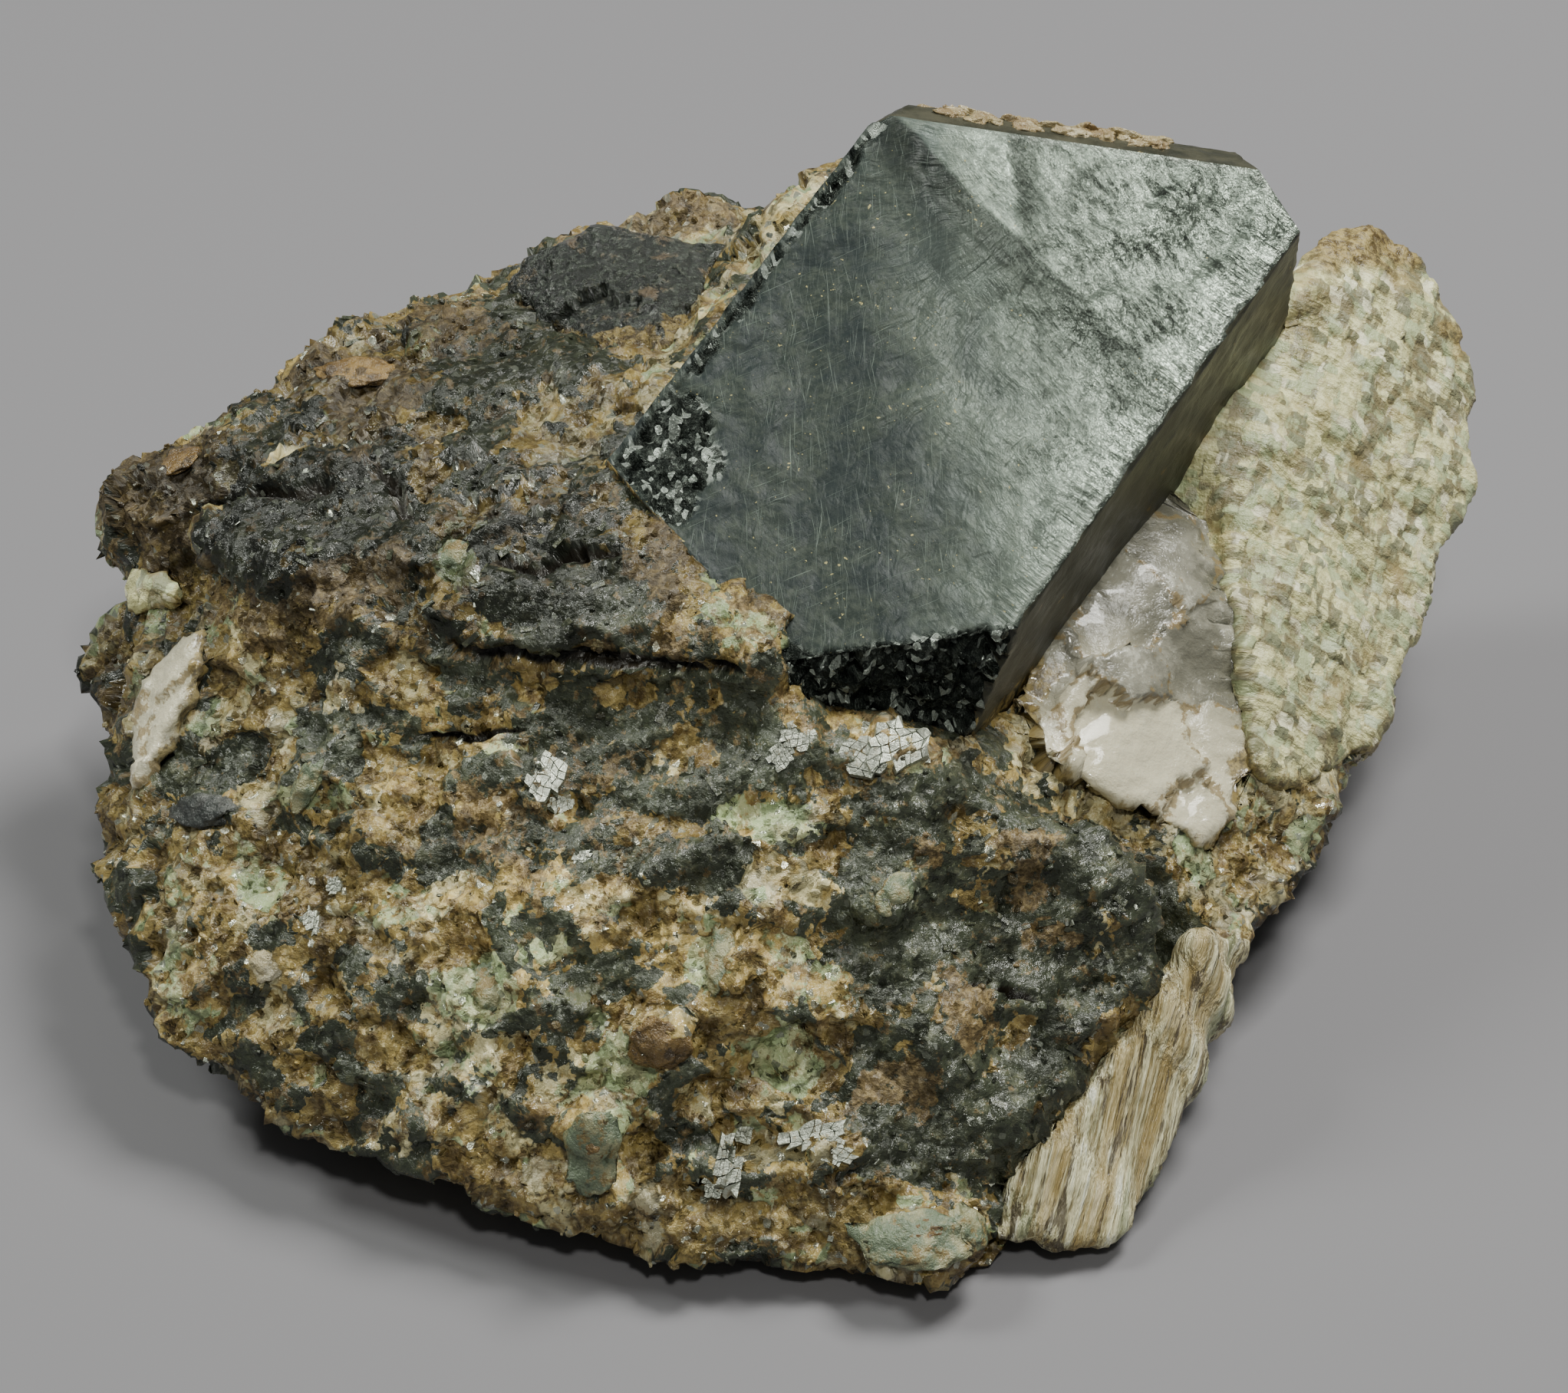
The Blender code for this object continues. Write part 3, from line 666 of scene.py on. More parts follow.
def in_ellipse(x, y, middle, radii, turn, outer, inner):
    """How far points lie in an ellipse: from 0 at outer times its radius to 1 at inner times its radius."""
    angle = math.radians(turn)
    dx, dy = x - middle[0], y - middle[1]
    along = (dx * math.cos(angle) + dy * math.sin(angle)) / radii[0]
    across = (dy * math.cos(angle) - dx * math.sin(angle)) / radii[1]
    return smoothstep(outer, inner, np.hypot(along, across))


def standing_frame(place, out, turn):
    """The frame at a point of a surface, with Z out of it and X across the photograph, then turned."""
    across = Vector((1.0, 0.0, 0.0))
    across = (across - out * across.dot(out)).normalized()
    axes = Matrix((across, out.cross(across), out)).transposed().to_4x4()
    return Matrix.Translation(place) @ axes @ Matrix.Rotation(math.radians(turn), 4, "Z")


def finished(obj, slot, *nodes, smooth=True):
    """Puts a piece on the specimen's one body and hides the nodes that it stands for. Its slot is not used.
    """
    if smooth:
        obj.data.shade_smooth()
    else:
        obj.data.shade_flat()
    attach(obj, "root")
    if nodes:
        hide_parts(*nodes)
    return obj


def grain_field(graph, place):
    """The rock's grains around a place: large cells, small ones, and the bent places they are made from."""
    bend = graph.noise(place, 2.2, 3.0, 0.55).output("Color")
    bent = graph.vector("ADD", place, graph.scaled(bend, 2.4))
    flat = graph.vector("MULTIPLY", bent, (0.85, 1.0, 1.25))
    coarse = graph.cells(flat, sizes().coarse_grain / MM)
    fine = graph.cells(bent, sizes().fine_grain / MM)
    return {"coarse": coarse, "fine": fine, "flat": flat, "bent": bent}


def rock_height(graph, place, inputs):
    """Ledges, grains that stand out by different heights with tilted tops, and small breaks."""
    field = grain_field(graph, place)
    total = 0.0
    for cells, spot, height, slope in (
            (field["coarse"], field["flat"], inputs["Coarse Height"], 0.36),
            (field["fine"], field["bent"], inputs["Fine Height"], 0.30)):
        rise = (graph.part(cells.output("Color"), 2) - 0.5) * height
        total = total + graph.tilt(cells, spot) * slope + rise
    layered = graph.vector("MULTIPLY", place, (0.6, 0.9, 1.4))
    ledges = graph.noise(layered, 5.5, 3.0, 0.55).stepped(11.0) - 0.45
    rough = graph.noise(place, 1.5, 5.0, 0.68) - 0.5
    lively = 1.0 - graph.named("calm") * 0.65
    return (total + rough * inputs["Roughness"]) * lively + ledges * inputs["Ledges"]


def laid_over(shares, kind, mask):
    """Changes the shares of the rock's covers where a patch of a kind lies."""
    for other in LOWERS[kind]:
        shares[:, COVERS.index(other)] *= 1.0 - mask
    if kind in RAISES:
        cover = shares[:, COVERS.index(RAISES[kind])]
        cover += (1.0 - cover) * mask


def facing_camera(obj):
    """How far each point of an object faces the camera, from 0 to 1."""
    towards = np.array(camera_axes()[0]) - points_of(obj)
    towards /= np.linalg.norm(towards, axis=1)[:, None]
    return smoothstep(-0.05, 0.25, np.sum(normals_of(obj) * towards, axis=1))


def painted_light_and_shade(rock):
    """Painted light and shade: how much lighter or darker than elsewhere each point of the rock is, as a
    factor.
    """
    points = points_of(rock)
    x, y = wavering_pixels(points, points / MM, ((5.0, 51.0, 83.0, 60),))
    facing = facing_camera(rock)
    factor = np.ones(len(points))
    for strength, middle, radii, turn in SHADES:
        factor *= 1.0 + (strength - 1.0) * in_ellipse(x, y, middle, radii, turn, 1.3, 0.7) * facing
    return factor


def crack_depths(rock):
    """How deep the open cracks are at each point of the rock, in millimetres."""
    points = points_of(rock)
    x, y = pixels_of(points)
    y = y + noise_at(points / MM, 3.4, 15.0) * 20
    depth = np.zeros(len(points))
    for middle, radii, turn in CRACKS:
        depth = np.maximum(depth, in_ellipse(x, y, middle, radii, turn, 1.25, 0.6))
    return depth * facing_camera(rock) * CRACK_DEPTH


def cover_shares(rock, pale_neighbours):
    """How much of each cover there is at each point of the rock, from 0 to 1."""
    points = points_of(rock)
    spots = points / MM
    x, y = wavering_pixels(points, spots, ((2.6, 0.0, 40.0, 26), (1.0, 9.0, 70.0, 12)))
    facing = facing_camera(rock)
    shares = np.tile(np.array(USUAL_SHARES), (len(points), 1))
    for kind, purity, size, offset in HIDDEN_PATCHES:
        mask = smoothstep(0.10, 0.42, noise_at(spots, size, offset))
        laid_over(shares, kind, mask * purity * (1.0 - facing))
    for kind, purity, middle, radii, turn in PATCHES:
        laid_over(shares, kind, in_ellipse(x, y, middle, radii, turn, 1.15, 0.8) * purity * facing)
    for neighbour in pale_neighbours:
        laid_over(shares, "pale", nearness(points, tree_of(neighbour), 0.4 * MM, 3.0 * MM) * 0.6)
    return shares


def covered(field, share, softness, spread=0.29):
    """Where a noise field, whose values are spread so far, is high enough to cover a share of the surface."""
    limit = 0.5 + (0.5 - share) * spread
    return field.between(limit - softness, limit + softness)


def glinting_normal(graph, cells_and_tilts):
    """The surface's normal, turned a little in each cell as cleavage faces do."""
    normal = graph.node("ShaderNodeNewGeometry", None, None, "Normal")
    for cells, tilt in cells_and_tilts:
        normal = graph.vector("ADD", normal, graph.scaled(graph.lean(cells), tilt))
    return graph.vector("NORMALIZE", normal)


def own_place(graph):
    """Places on a piece itself, in millimetres."""
    place = graph.node("ShaderNodeTexCoord", None, None, "Object")
    return graph.scaled(place, 1.0 / MM)


def shaded(graph, colour, factor):
    """A colour made lighter or darker by a factor."""
    return graph.mixed(1.0, colour, graph.joined(factor, factor, factor), "MULTIPLY")


def rock_minerals(graph, place):
    """The rock's colour at a place, how much of it is dark mineral and crust, and the fields behind it."""
    tint = colours()
    shares = graph.attribute("shares", "Color")
    field = grain_field(graph, place)
    coarse, fine = field["coarse"].output("Color"), field["fine"].output("Color")
    tone = graph.noise(place, 1.4, 5.0, 0.62)
    fleck = graph.noise(place, 0.42, 3.0, 0.7)
    cloud = graph.noise(place, 3.2, 4.0, 0.58).output("Color")
    small = (graph.part(fine, 0) - 0.5) * 0.10
    pale_at, green_at, dark_at = (
        covered(graph.part(cloud, i) + (graph.part(coarse, i) - 0.5) * 0.34 + small, share, softness, 0.42)
        for i, share, softness in (
            (0, graph.part(shares, 2), 0.035), (1, shares.output("Alpha"), 0.020),
            (2, graph.part(shares, 0), 0.008)))
    mealy = graph.noise(place, 0.9, 4.0, 0.75) + (tone - 0.5) * 0.6
    crust_at = covered(mealy, graph.part(shares, 1), 0.035)
    ochre = graph.mixed(tone.between(0.38, 0.60), tint.ochre, tint.ochre_dark)
    ochre = graph.mixed(fleck.between(0.50, 0.72) * 0.4, ochre, tint.pale)
    pale = graph.mixed(tone.between(0.42, 0.62), tint.pale, tint.ochre)
    pale = graph.mixed(graph.part(cloud, 1).between(0.48, 0.60) * 0.5, pale, tint.quartz)
    green = graph.mixed(tone.between(0.40, 0.62), tint.green, (0.34, 0.36, 0.20))
    dark = graph.mixed(fleck.between(0.54, 0.80) + tone.between(0.50, 0.68) * 0.6, tint.dark, tint.dark_light)
    crust = graph.mixed(fleck.between(0.42, 0.66), tint.crust, tint.crust_light)
    colour = graph.mixed(pale_at * 0.9, ochre, pale)
    colour = graph.mixed(green_at * 0.85, colour, green)
    colour = graph.mixed(dark_at, colour, dark)
    colour = graph.mixed(crust_at * 0.85, colour, crust)
    colour = shaded(graph, colour, graph.part(fine, 2).between(0.0, 1.0, 0.80, 1.18))
    colour = shaded(graph, colour, graph.part(coarse, 1).between(0.0, 1.0, 0.78, 1.20))
    # Painted light and shade: the rock made darker or lighter over broad areas
    colour = shaded(graph, colour, graph.attribute("painted_light_and_shade", "Fac"))
    # Darkened edges of the large grains, partly painted shade between them, and the open cracks painted black
    # as shade
    off_edge = graph.cells(field["flat"], sizes().coarse_grain / MM, "DISTANCE_TO_EDGE")
    seam_and_crack_shade = off_edge.between(0.0, 0.07, 1.0, 0.0) * 0.5 * (1.0 - dark_at)
    seam_and_crack_shade = seam_and_crack_shade.at_least(graph.attribute("cut", "Fac").between(0.25, 0.7))
    colour = graph.mixed(seam_and_crack_shade, colour, (0.016, 0.013, 0.008))
    return {"colour": colour, "dark": dark_at, "crust": crust_at, "tone": tone, "fleck": fleck, **field}


def rock_look(graph):
    """Ochre grains with pale, green and dark ones, patches of rusty crust, glinting facets and mica."""
    place = graph.attribute("rest")
    made = rock_minerals(graph, place)
    sparks = graph.cells(place, sizes().glitter / MM)
    glint = graph.part(sparks.output("Color"), 1)
    mica = (glint > 0.955) * (1.0 - made["crust"] * 0.7) * (1.0 - made["dark"] * 0.8)
    rough = graph.number(made["crust"], graph.number(made["dark"], 0.26, 0.30), 0.50)
    fine_tilt = 0.60 - made["dark"] * 0.30
    tilted = glinting_normal(
        graph, ((sparks, 0.90 - made["dark"] * 0.35), (made["fine"], fine_tilt), (made["coarse"], 0.35)))
    return {
        "Base Color": graph.mixed(mica * 0.7, made["colour"], colours().mica),
        "Metallic": mica * 0.6,
        "Roughness": rough + glint.between(0.95, 0.35, -0.10, 0.10),
        "Normal": graph.bump(made["fleck"] * 0.14 + made["tone"] * 0.24, 1.0 * MM, tilted),
        "Specular IOR Level": 0.36,
        "IOR": 1.62,
    }


class SPECIMEN_OT_blade(bpy.types.Operator):
    """Make the big allanite blade, with its silky, wrinkled face"""

    bl_idname = "specimen.blade"
    bl_label = "Allanite Blade"

    def execute(self, context):
        bm = merged("allanite_crystal")
        own = blade_frame(bm)
        bmesh.ops.transform(bm, matrix=own.inverted(), verts=bm.verts)
        blade = object_from("allanite_blade", bm)
        remesh = blade.modifiers.new("sharp", "REMESH")
        remesh.mode = "SHARP"
        remesh.octree_depth = 7
        remesh.scale = 0.95
        remesh.use_remove_disconnected = False
        evaluated(blade)
        spots, normals = points_of(blade) / MM, normals_of(blade)
        upward = read_vectors(blade.data.polygons, "normal")[:, 2]
        blade.data.transform(own)
        top = smoothstep(0.80, 0.96, normals[:, 2])
        broken = broken_parts(blade, spots, normals, top)
        first = np.array([face.vertices[0] for face in blade.data.polygons])
        smooth_sides = (upward < FACE_LIMIT) & (broken[first] < 0.5)
        set_attribute(blade, "local", "FLOAT_VECTOR", spots)
        set_attribute(blade, "top", "FLOAT", top)
        set_attribute(blade, "broken", "FLOAT", broken)
        # Nearness to the face's right and top edges, where a thin painted highlight lies
        set_attribute(blade, "edge", "FLOAT", near_edges(spots, normals, 0.15, 0.55))
        set_attribute(blade, "reach", "FLOAT", 1.0 - near_edges(spots, normals, 0.3, 2.2) * (1.0 - broken))
        soil = nearness(points_of(blade), tree_of(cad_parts["matrix_rock"]), 0.3 * MM, 2.6 * MM)
        set_attribute(blade, "soil", "FLOAT", soil)
        relief = {"Swell": 0.6, "Dents": 0.30, "Shells": 0.42, "Bowl": 0.7, "Breaks": 2.3, "Lines": 0.22}
        grown(blade, relief_tree("Blade Relief", relief, blade_height, new_material("allanite", blade_look)))
        blade.data.materials.append(new_material("allanite sides", side_look))
        blade.data.polygons.foreach_set("material_index", smooth_sides.astype(np.int32))
        finished(blade, "allanite", "allanite_crystal")
        return {"FINISHED"}


def blade_frame(bm):
    """The blade's own frame, read from its solid: X across its big face, Y along its long edges, Z out."""
    flat = bm.copy()
    bmesh.ops.dissolve_limit(flat, angle_limit=math.radians(1.0), verts=flat.verts, edges=flat.edges)
    face = max((f for f in flat.faces if f.normal.z > 0.5), key=lambda f: f.calc_area())
    edge = max(face.edges, key=lambda e: e.calc_length())
    along = (edge.verts[1].co - edge.verts[0].co).normalized()
    if along.y < 0:
        along = -along
    out = face.normal.copy()
    middle = face.calc_center_bounds()
    flat.free()
    axes = Matrix((along.cross(out), along, out)).transposed().to_4x4()
    return Matrix.Translation(middle) @ axes


def broken_parts(blade, spots, normals, top):
    """Where the blade's surface is rough and glittering: its lower end, its left edge and some patches."""
    x, y = wavering_pixels(points_of(blade), spots, ((2.2, 0.0, 31.0, 26), (0.8, 5.0, 47.0, 9)))
    broken = smoothstep(0.62, 0.8, normals[:, 0] * 0.62 - normals[:, 1] * 0.66 + normals[:, 2] * 0.4)
    for middle, radii, turn in BLADE_BREAKS:
        broken = np.maximum(broken, in_ellipse(x, y, middle, radii, turn, 1.12, 0.92) * top)
    from_left = spots[:, 0] - spots[:, 0].min() + noise_at(spots, 3.0, 12.0) * 1.1
    return np.maximum(broken, smoothstep(1.0, 0.6, from_left) * top)


def near_edges(spots, normals, near, far):
    """How near each point is to the sharp edges at the right and top of the blade's big face: 1 at the
    distance near or closer, and 0 at far or further."""
    on_face = normals[:, 2] >= FACE_LIMIT
    distances = np.empty(len(spots))
    for own in (on_face, ~on_face):
        beside = spots[~own]
        tree = KDTree(len(beside))
        for i, spot in enumerate(beside):
            tree.insert(spot, i)
        tree.balance()
        distances[own] = [tree.find(spot)[2] for spot in spots[own]]
    return (1.0 - smoothstep(near, far, distances)) * smoothstep(-12.0, -4.0, spots[:, 0] + spots[:, 1] * 0.5)


def shell_field(graph, local):
    """Lines that fan out from where the blade's face broke, curved steps around it, a hollow, and how far
    the crease and the facet's edges are."""
    x, y = graph.part(local, 0), graph.part(local, 1)
    dx, dy = x - SHELL_ORIGIN[0], y - SHELL_ORIGIN[1]
    wobble = graph.noise(local, 3.4, 2.0) - 0.5
    radius = graph.vector("LENGTH", graph.joined(dx, dy, 0.0)) + wobble * 3.0
    angle = graph.node("ShaderNodeMath", {"operation": "ARCTAN2"}, {0: dx, 1: dy}) + wobble * 0.16
    fan = graph.noise(graph.joined(angle * 13.0, radius * 0.22, 0.0), 1.0, 3.0, 0.6)
    fan = (fan - 0.5) * radius.between(4.0, 11.0)
    steps = radius.between(5.0, 5.7) - radius.between(5.7, 8.0)
    steps = steps + radius.between(10.0, 10.8) - radius.between(10.8, 14.0)
    from_bowl = graph.joined(x - BOWL_MIDDLE[0], y - BOWL_MIDDLE[1], 0.0)
    off_bowl = graph.vector("LENGTH", from_bowl) + wobble * 1.5
    bowl = (1.0 - off_bowl * (1.0 / BOWL_RADIUS)).at_least(0.0)
    made = {"fan": fan, "steps": steps, "bowl": bowl, "x": x, "y": y}
    for name, point, across in (
            ("crease", CREASE_POINT, CREASE_ACROSS), ("facet", FACET_POINT, FACET_ACROSS),
            ("arc", ARC_POINT, ARC_ACROSS)):
        made[name] = (x - point[0]) * across[0] + (y - point[1]) * across[1] + wobble * 0.8
    return made


def streaks(graph, local, turn, width, length, shift, bend=1.6, detail=3.0):
    """Noise drawn out into bent streaks at an angle on the blade's face."""
    angle = math.radians(turn)
    x, y = graph.part(local, 0), graph.part(local, 1)
    across = x * math.cos(angle) + y * math.sin(angle) + graph.noise(local, 6.0, 1.0) * bend
    along = y * math.cos(angle) - x * math.sin(angle)
    return graph.noise(graph.joined(across * (1.0 / width), along * (1.0 / length), shift), 1.0, detail, 0.65)


def blade_height(graph, place, inputs):
    """Swells, dents, shell-like steps and a hollow on the big face, and rough breaks."""
    local = graph.named("local", "FLOAT_VECTOR")
    shells = shell_field(graph, local)
    swell = graph.noise(local, 8.0, 2.0) - 0.5
    dent = graph.noise(local, 2.6, 4.0, 0.6) - 0.5
    tilt = shells["crease"].at_most(0.0).at_least(-4.0) * 0.10
    shell = (shells["steps"] + shells["fan"]) * inputs["Shells"]
    smooth = swell * inputs["Swell"] + dent * inputs["Dents"] + shell
    smooth = smooth - shells["bowl"] * inputs["Bowl"] + tilt
    facets = graph.tilt(graph.cells(place, 1.5), place) * 1.3
    rough = (graph.noise(place, 1.3, 4.0, 0.62) - 0.58) * inputs["Breaks"] + facets
    sides = (growth_lines(graph, local) - 0.5) * inputs["Lines"] + dent * inputs["Dents"] * 2.0
    top = graph.named("top")
    return smooth * top + sides * (1.0 - top) + rough * graph.named("broken")


def growth_lines(graph, local):
    """Noise in long lines around the blade's sides."""
    return graph.noise(graph.vector("MULTIPLY", local, (0.08, 0.08, 1.5)), 1.0, 4.0, 0.65)


def blade_look(graph):
    """Greenish black with a silky, near-metallic face, scratched at the left and wrinkled at the right.
    Painted sheen lies on the right part, painted highlights on a facet and along the face's right and top
    edges, and painted shade beside the facet.
    """
    tint = colours()
    local, place = graph.attribute("local"), graph.attribute("rest")
    broken, edge = graph.attribute("broken", "Fac"), graph.attribute("edge", "Fac")
    shells = shell_field(graph, local)
    uneven = (graph.noise(local, 6.0, 2.0) - 0.5) * 9.0
    right = (shells["x"] * 0.8 + shells["y"] * 0.6 + uneven).between(-6.0, 12.5)
    patches = graph.noise(local, 4.5, 4.0, 0.6)
    grainy = graph.noise(local, 0.5, 4.0, 0.72)
    hairs = 0.0
    for turn, length, shift in ((32, 8.0, 0.0), (24, 5.0, 20.0), (42, 5.0, 50.0), (-30, 4.0, 80.0)):
        hairs = hairs + streaks(graph, local, turn, 0.085, length, shift, 0.5).between(0.60, 0.70) * 0.6
    hairs = hairs.at_most(1.0) * patches.between(0.30, 0.54, 0.35, 1.0) * (1.0 - right * 0.85)
    wrinkles = streaks(graph, local, 66, 0.50, 1.5, 7.0, 1.6, 4.0)
    feathers = streaks(graph, local, 82, 0.42, 3.6, 31.0, 0.8, 3.0)
    beside = shells["x"].between(7.0, 12.0)
    wrinkles = graph.number(beside, wrinkles, feathers)
    crumples = graph.noise(local, 0.9, 3.0, 0.6)
    cloud = graph.noise(local, 3.0, 3.0, 0.55).between(0.36, 0.62)
    # Painted sheen: the right part lighter on the wrinkles' crests and in clouds, as reflections are
    painted_sheen = graph.number(right, 1.0, wrinkles.between(0.40, 0.60) * 1.1 + cloud * 0.7 + 0.20)
    # A painted highlight on the facet near the upper left corner, and painted shade below the crease and past
    # the arc
    above = shells["facet"].between(-0.2, 0.3)
    painted_facet_highlight = above * shells["arc"].between(0.4, -0.2)
    painted_facet_shade = (1.0 - above) * shells["crease"].between(-0.2, 0.4) * shells["facet"].between(-5.0, -1.0)
    painted_facet_shade = painted_facet_shade.at_least(above * shells["arc"].between(-0.1, 0.5) * shells["arc"].between(2.2, 0.8))
    painted_sheen = painted_sheen * (1.0 + painted_facet_highlight * 0.9) * (1.0 - painted_facet_shade * 0.55)
    face = graph.mixed(grainy.between(0.40, 0.68), tint.allanite, (0.046, 0.056, 0.045))
    face = graph.mixed(patches.between(0.55, 0.40) * 0.6, face, (0.014, 0.020, 0.023))
    face = shaded(graph, graph.mixed(right, face, (0.165, 0.196, 0.164)), painted_sheen)
    face = graph.mixed(hairs * 0.70, face, tint.scratch)
    # Painted highlight: a thin light line along the face's right and top edges
    face = graph.mixed(edge * right, face, (0.36, 0.40, 0.35))
    specks = (graph.noise(local, 0.34, 2.0, 0.5) + (patches - 0.5) * 0.35 - right * 0.06).between(0.71, 0.75)
    face = graph.mixed(specks, face, (0.34, 0.30, 0.14))
    height = wrinkles * right.between(0.0, 1.0, 0.05, 0.60) + crumples * right.between(0.0, 1.0, 0.05, 0.40)
    height = height + grainy * 0.05 + hairs * 0.03 + shells["fan"] * 0.5
    chips, large_chips = graph.cells(place, 0.4), graph.cells(place, 1.3)
    rough_bump = graph.bump(grainy, 0.5 * MM, glinting_normal(graph, ((chips, 1.0), (large_chips, 0.6))))
    black = graph.mixed(grainy.between(0.45, 0.72), (0.016, 0.020, 0.017), (0.10, 0.115, 0.10))
    # Some chips lighter grey, painted as glints on the broken parts
    black = graph.mixed(graph.part(chips.output("Color"), 0).between(0.74, 0.82), black, (0.34, 0.38, 0.34))
    silky = grainy.between(0.3, 0.7, 0.36, 0.48) - right * 0.17
    return {
        "Base Color": graph.mixed(broken, face, black),
        "Metallic": graph.number(broken, (1.0 - specks) * (0.04 + right * 0.62), 0.55),
        "Roughness": graph.number(broken, silky, 0.20),
        "Specular IOR Level": 0.1,
        "Normal": graph.direction(broken, graph.bump(height, 0.62 * MM), rough_bump),
        "IOR": 1.55,
    }


def side_look(graph):
    """Dull olive-black with growth lines, as the blade's sides are, and rusty crumbs on it near the rock."""
    tint = colours()
    local, place = graph.attribute("local"), graph.attribute("rest")
    cloud = graph.noise(place, 2.4, 4.0, 0.6)
    lines = growth_lines(graph, local)
    olive = graph.mixed(cloud.between(0.35, 0.7), (0.024, 0.026, 0.018), (0.060, 0.058, 0.038))
    olive = graph.mixed(lines.between(0.54, 0.70) * 0.2, olive, (0.105, 0.100, 0.066))
    crumbs = graph.mixed(graph.noise(place, 0.5, 3.0, 0.7).between(0.42, 0.60), tint.crust, tint.ochre)
    mealy = graph.noise(place, 1.5, 6.0, 0.70) + graph.attribute("soil", "Fac") * 0.20
    return {
        "Base Color": graph.mixed(mealy.between(0.64, 0.70) * 0.85, olive, crumbs),
        "Roughness": cloud.between(0.3, 0.7, 0.32, 0.52),
        "Specular IOR Level": 0.25,
        "Normal": graph.bump(lines * 0.35 + graph.noise(place, 0.7, 4.0, 0.7) * 0.5, 0.20 * MM),
    }


def in_cleavage(graph, place):
    """A place along the feldspar's cleavage: along the slab, across it and through it."""
    directions = (ALONG_SLAB, ACROSS_SLAB, ALONG_SLAB.cross(ACROSS_SLAB))
    return [graph.vector("DOT_PRODUCT", place, tuple(direction)) for direction in directions]


def slab_weave(graph, place):
    """Short rows across the slab, columns along it, and the small, squarish blocks between them."""
    along, across, deep = in_cleavage(graph, place)
    bend = graph.noise(place, 5.0, 2.0) * 1.6
    rows = graph.noise(graph.joined(across * 0.42, (along + bend) * 1.35, deep * 0.25), 1.0, 3.0, 0.6)
    columns = graph.noise(graph.joined((across + bend) * 0.75, along * 0.15, deep * 0.30), 1.0, 3.0, 0.6)
    uneven = graph.noise(place, 1.0, 2.0) * 0.5
    beside, onward = across * 1.05 + bend + uneven, along * 1.25 + bend + uneven
    blocks = graph.bricks(graph.joined(beside, onward, deep * 0.9))
    return rows, columns, blocks


def slab_height(graph, place, inputs):
    """Rows of small cleavage steps over a worn surface."""
    rows, columns, blocks = slab_weave(graph, place)
    steps = (rows - 0.5) * inputs["Rows"] + (columns - 0.5) * inputs["Columns"]
    steps = steps + (graph.part(blocks.output("Color"), 0) - 0.5) * inputs["Blocks"]
    worn = (graph.noise(place, 1.3, 4.0, 0.65) - 0.5) * inputs["Roughness"]
    return steps + worn + (graph.noise(place, 6.0, 2.0) - 0.5) * 1.1 + 0.3


def rusty_rim(graph, place, colour):
    """A colour under ochre and brown crumbs that the rock has left around a mineral's edge."""
    mealy = graph.noise(place, 1.5, 5.0, 0.68) * 0.8 + graph.attribute("rim", "Fac") * 0.42
    speckled = graph.noise(place, 0.6, 3.0, 0.7).between(0.42, 0.60)
    crumbs = graph.mixed(speckled, colours().ochre, colours().crust)
    return graph.mixed(mealy.between(0.60, 0.70) * 0.8, colour, crumbs)


def slab_look(graph):
    """Yellowish cream cleavage blocks, some pale green or grey-brown, with brown joints and rusty stains."""
    tint = colours()
    place = graph.attribute("rest")
    rows, columns, blocks = slab_weave(graph, place)
    tone = graph.noise(place, 3.4, 5.0, 0.6)
    fleck = graph.noise(place, 0.55, 3.0, 0.7)
    first, second, third = (graph.part(blocks.output("Color"), i) for i in range(3))
    cream = graph.mixed(fleck.between(0.35, 0.65), (0.57, 0.55, 0.27), (0.81, 0.79, 0.44))
    white = graph.mixed(third.between(0.80, 0.86) * 0.7, cream, (0.82, 0.80, 0.60))
    green_at = (second + (tone - 0.5) * 1.8).between(0.58, 0.68)
    green = graph.mixed(green_at * 0.65, white, (0.32, 0.41, 0.24))
    grey_at = (first + (columns - 0.5) * -2.6 + (tone - 0.5)).between(0.70, 0.82)
    grey = graph.mixed(grey_at * 0.8, green, (0.17, 0.17, 0.105))
    joint = blocks.output("Distance").between(0.40, 0.60) * 0.5
    hollow = (rows + columns) * 0.5
    jointed = graph.mixed(joint.at_least(hollow.between(0.47, 0.40) * 0.6), grey, (0.23, 0.175, 0.080))
    yellow_at = graph.noise(place, 5.0, 4.0, 0.6).between(0.54, 0.68) * 0.5
    yellow = graph.mixed(yellow_at, jointed, (0.42, 0.31, 0.115))
    rust = graph.mixed(fleck.between(0.40, 0.62), tint.crust, tint.ochre)
    yellow = graph.mixed(graph.attribute("stain", "Fac"), yellow, rust)
    return {
        "Base Color": rusty_rim(graph, place, yellow),
        "Roughness": fleck.between(0.3, 0.7, 0.34, 0.60),
        "Normal": graph.bump(fleck * 0.3 + hollow * 0.7, 0.7 * MM, glinting_normal(graph, ((blocks, 0.40),))),
        "IOR": 1.53,
    }


def quartz_plates(graph, place):
    """The quartz's large, smooth pieces, the bent places they are made from, and how far off their borders
    are."""
    bent = graph.vector("ADD", place, graph.scaled(graph.noise(place, 2.6, 4.0, 0.65).output("Color"), 3.4))
    return graph.cells(bent, QUARTZ_PLATE), bent, graph.cells(bent, QUARTZ_PLATE, "DISTANCE_TO_EDGE")


def quartz_height(graph, place, inputs):
    """Smooth, tilted pieces."""
    plates, bent, _ = quartz_plates(graph, place)
    rough = (graph.noise(place, 2.0, 4.0, 0.6) - 0.5) * inputs["Roughness"]
    return graph.tilt(plates, bent) * inputs["Chips"] + rough + 0.3


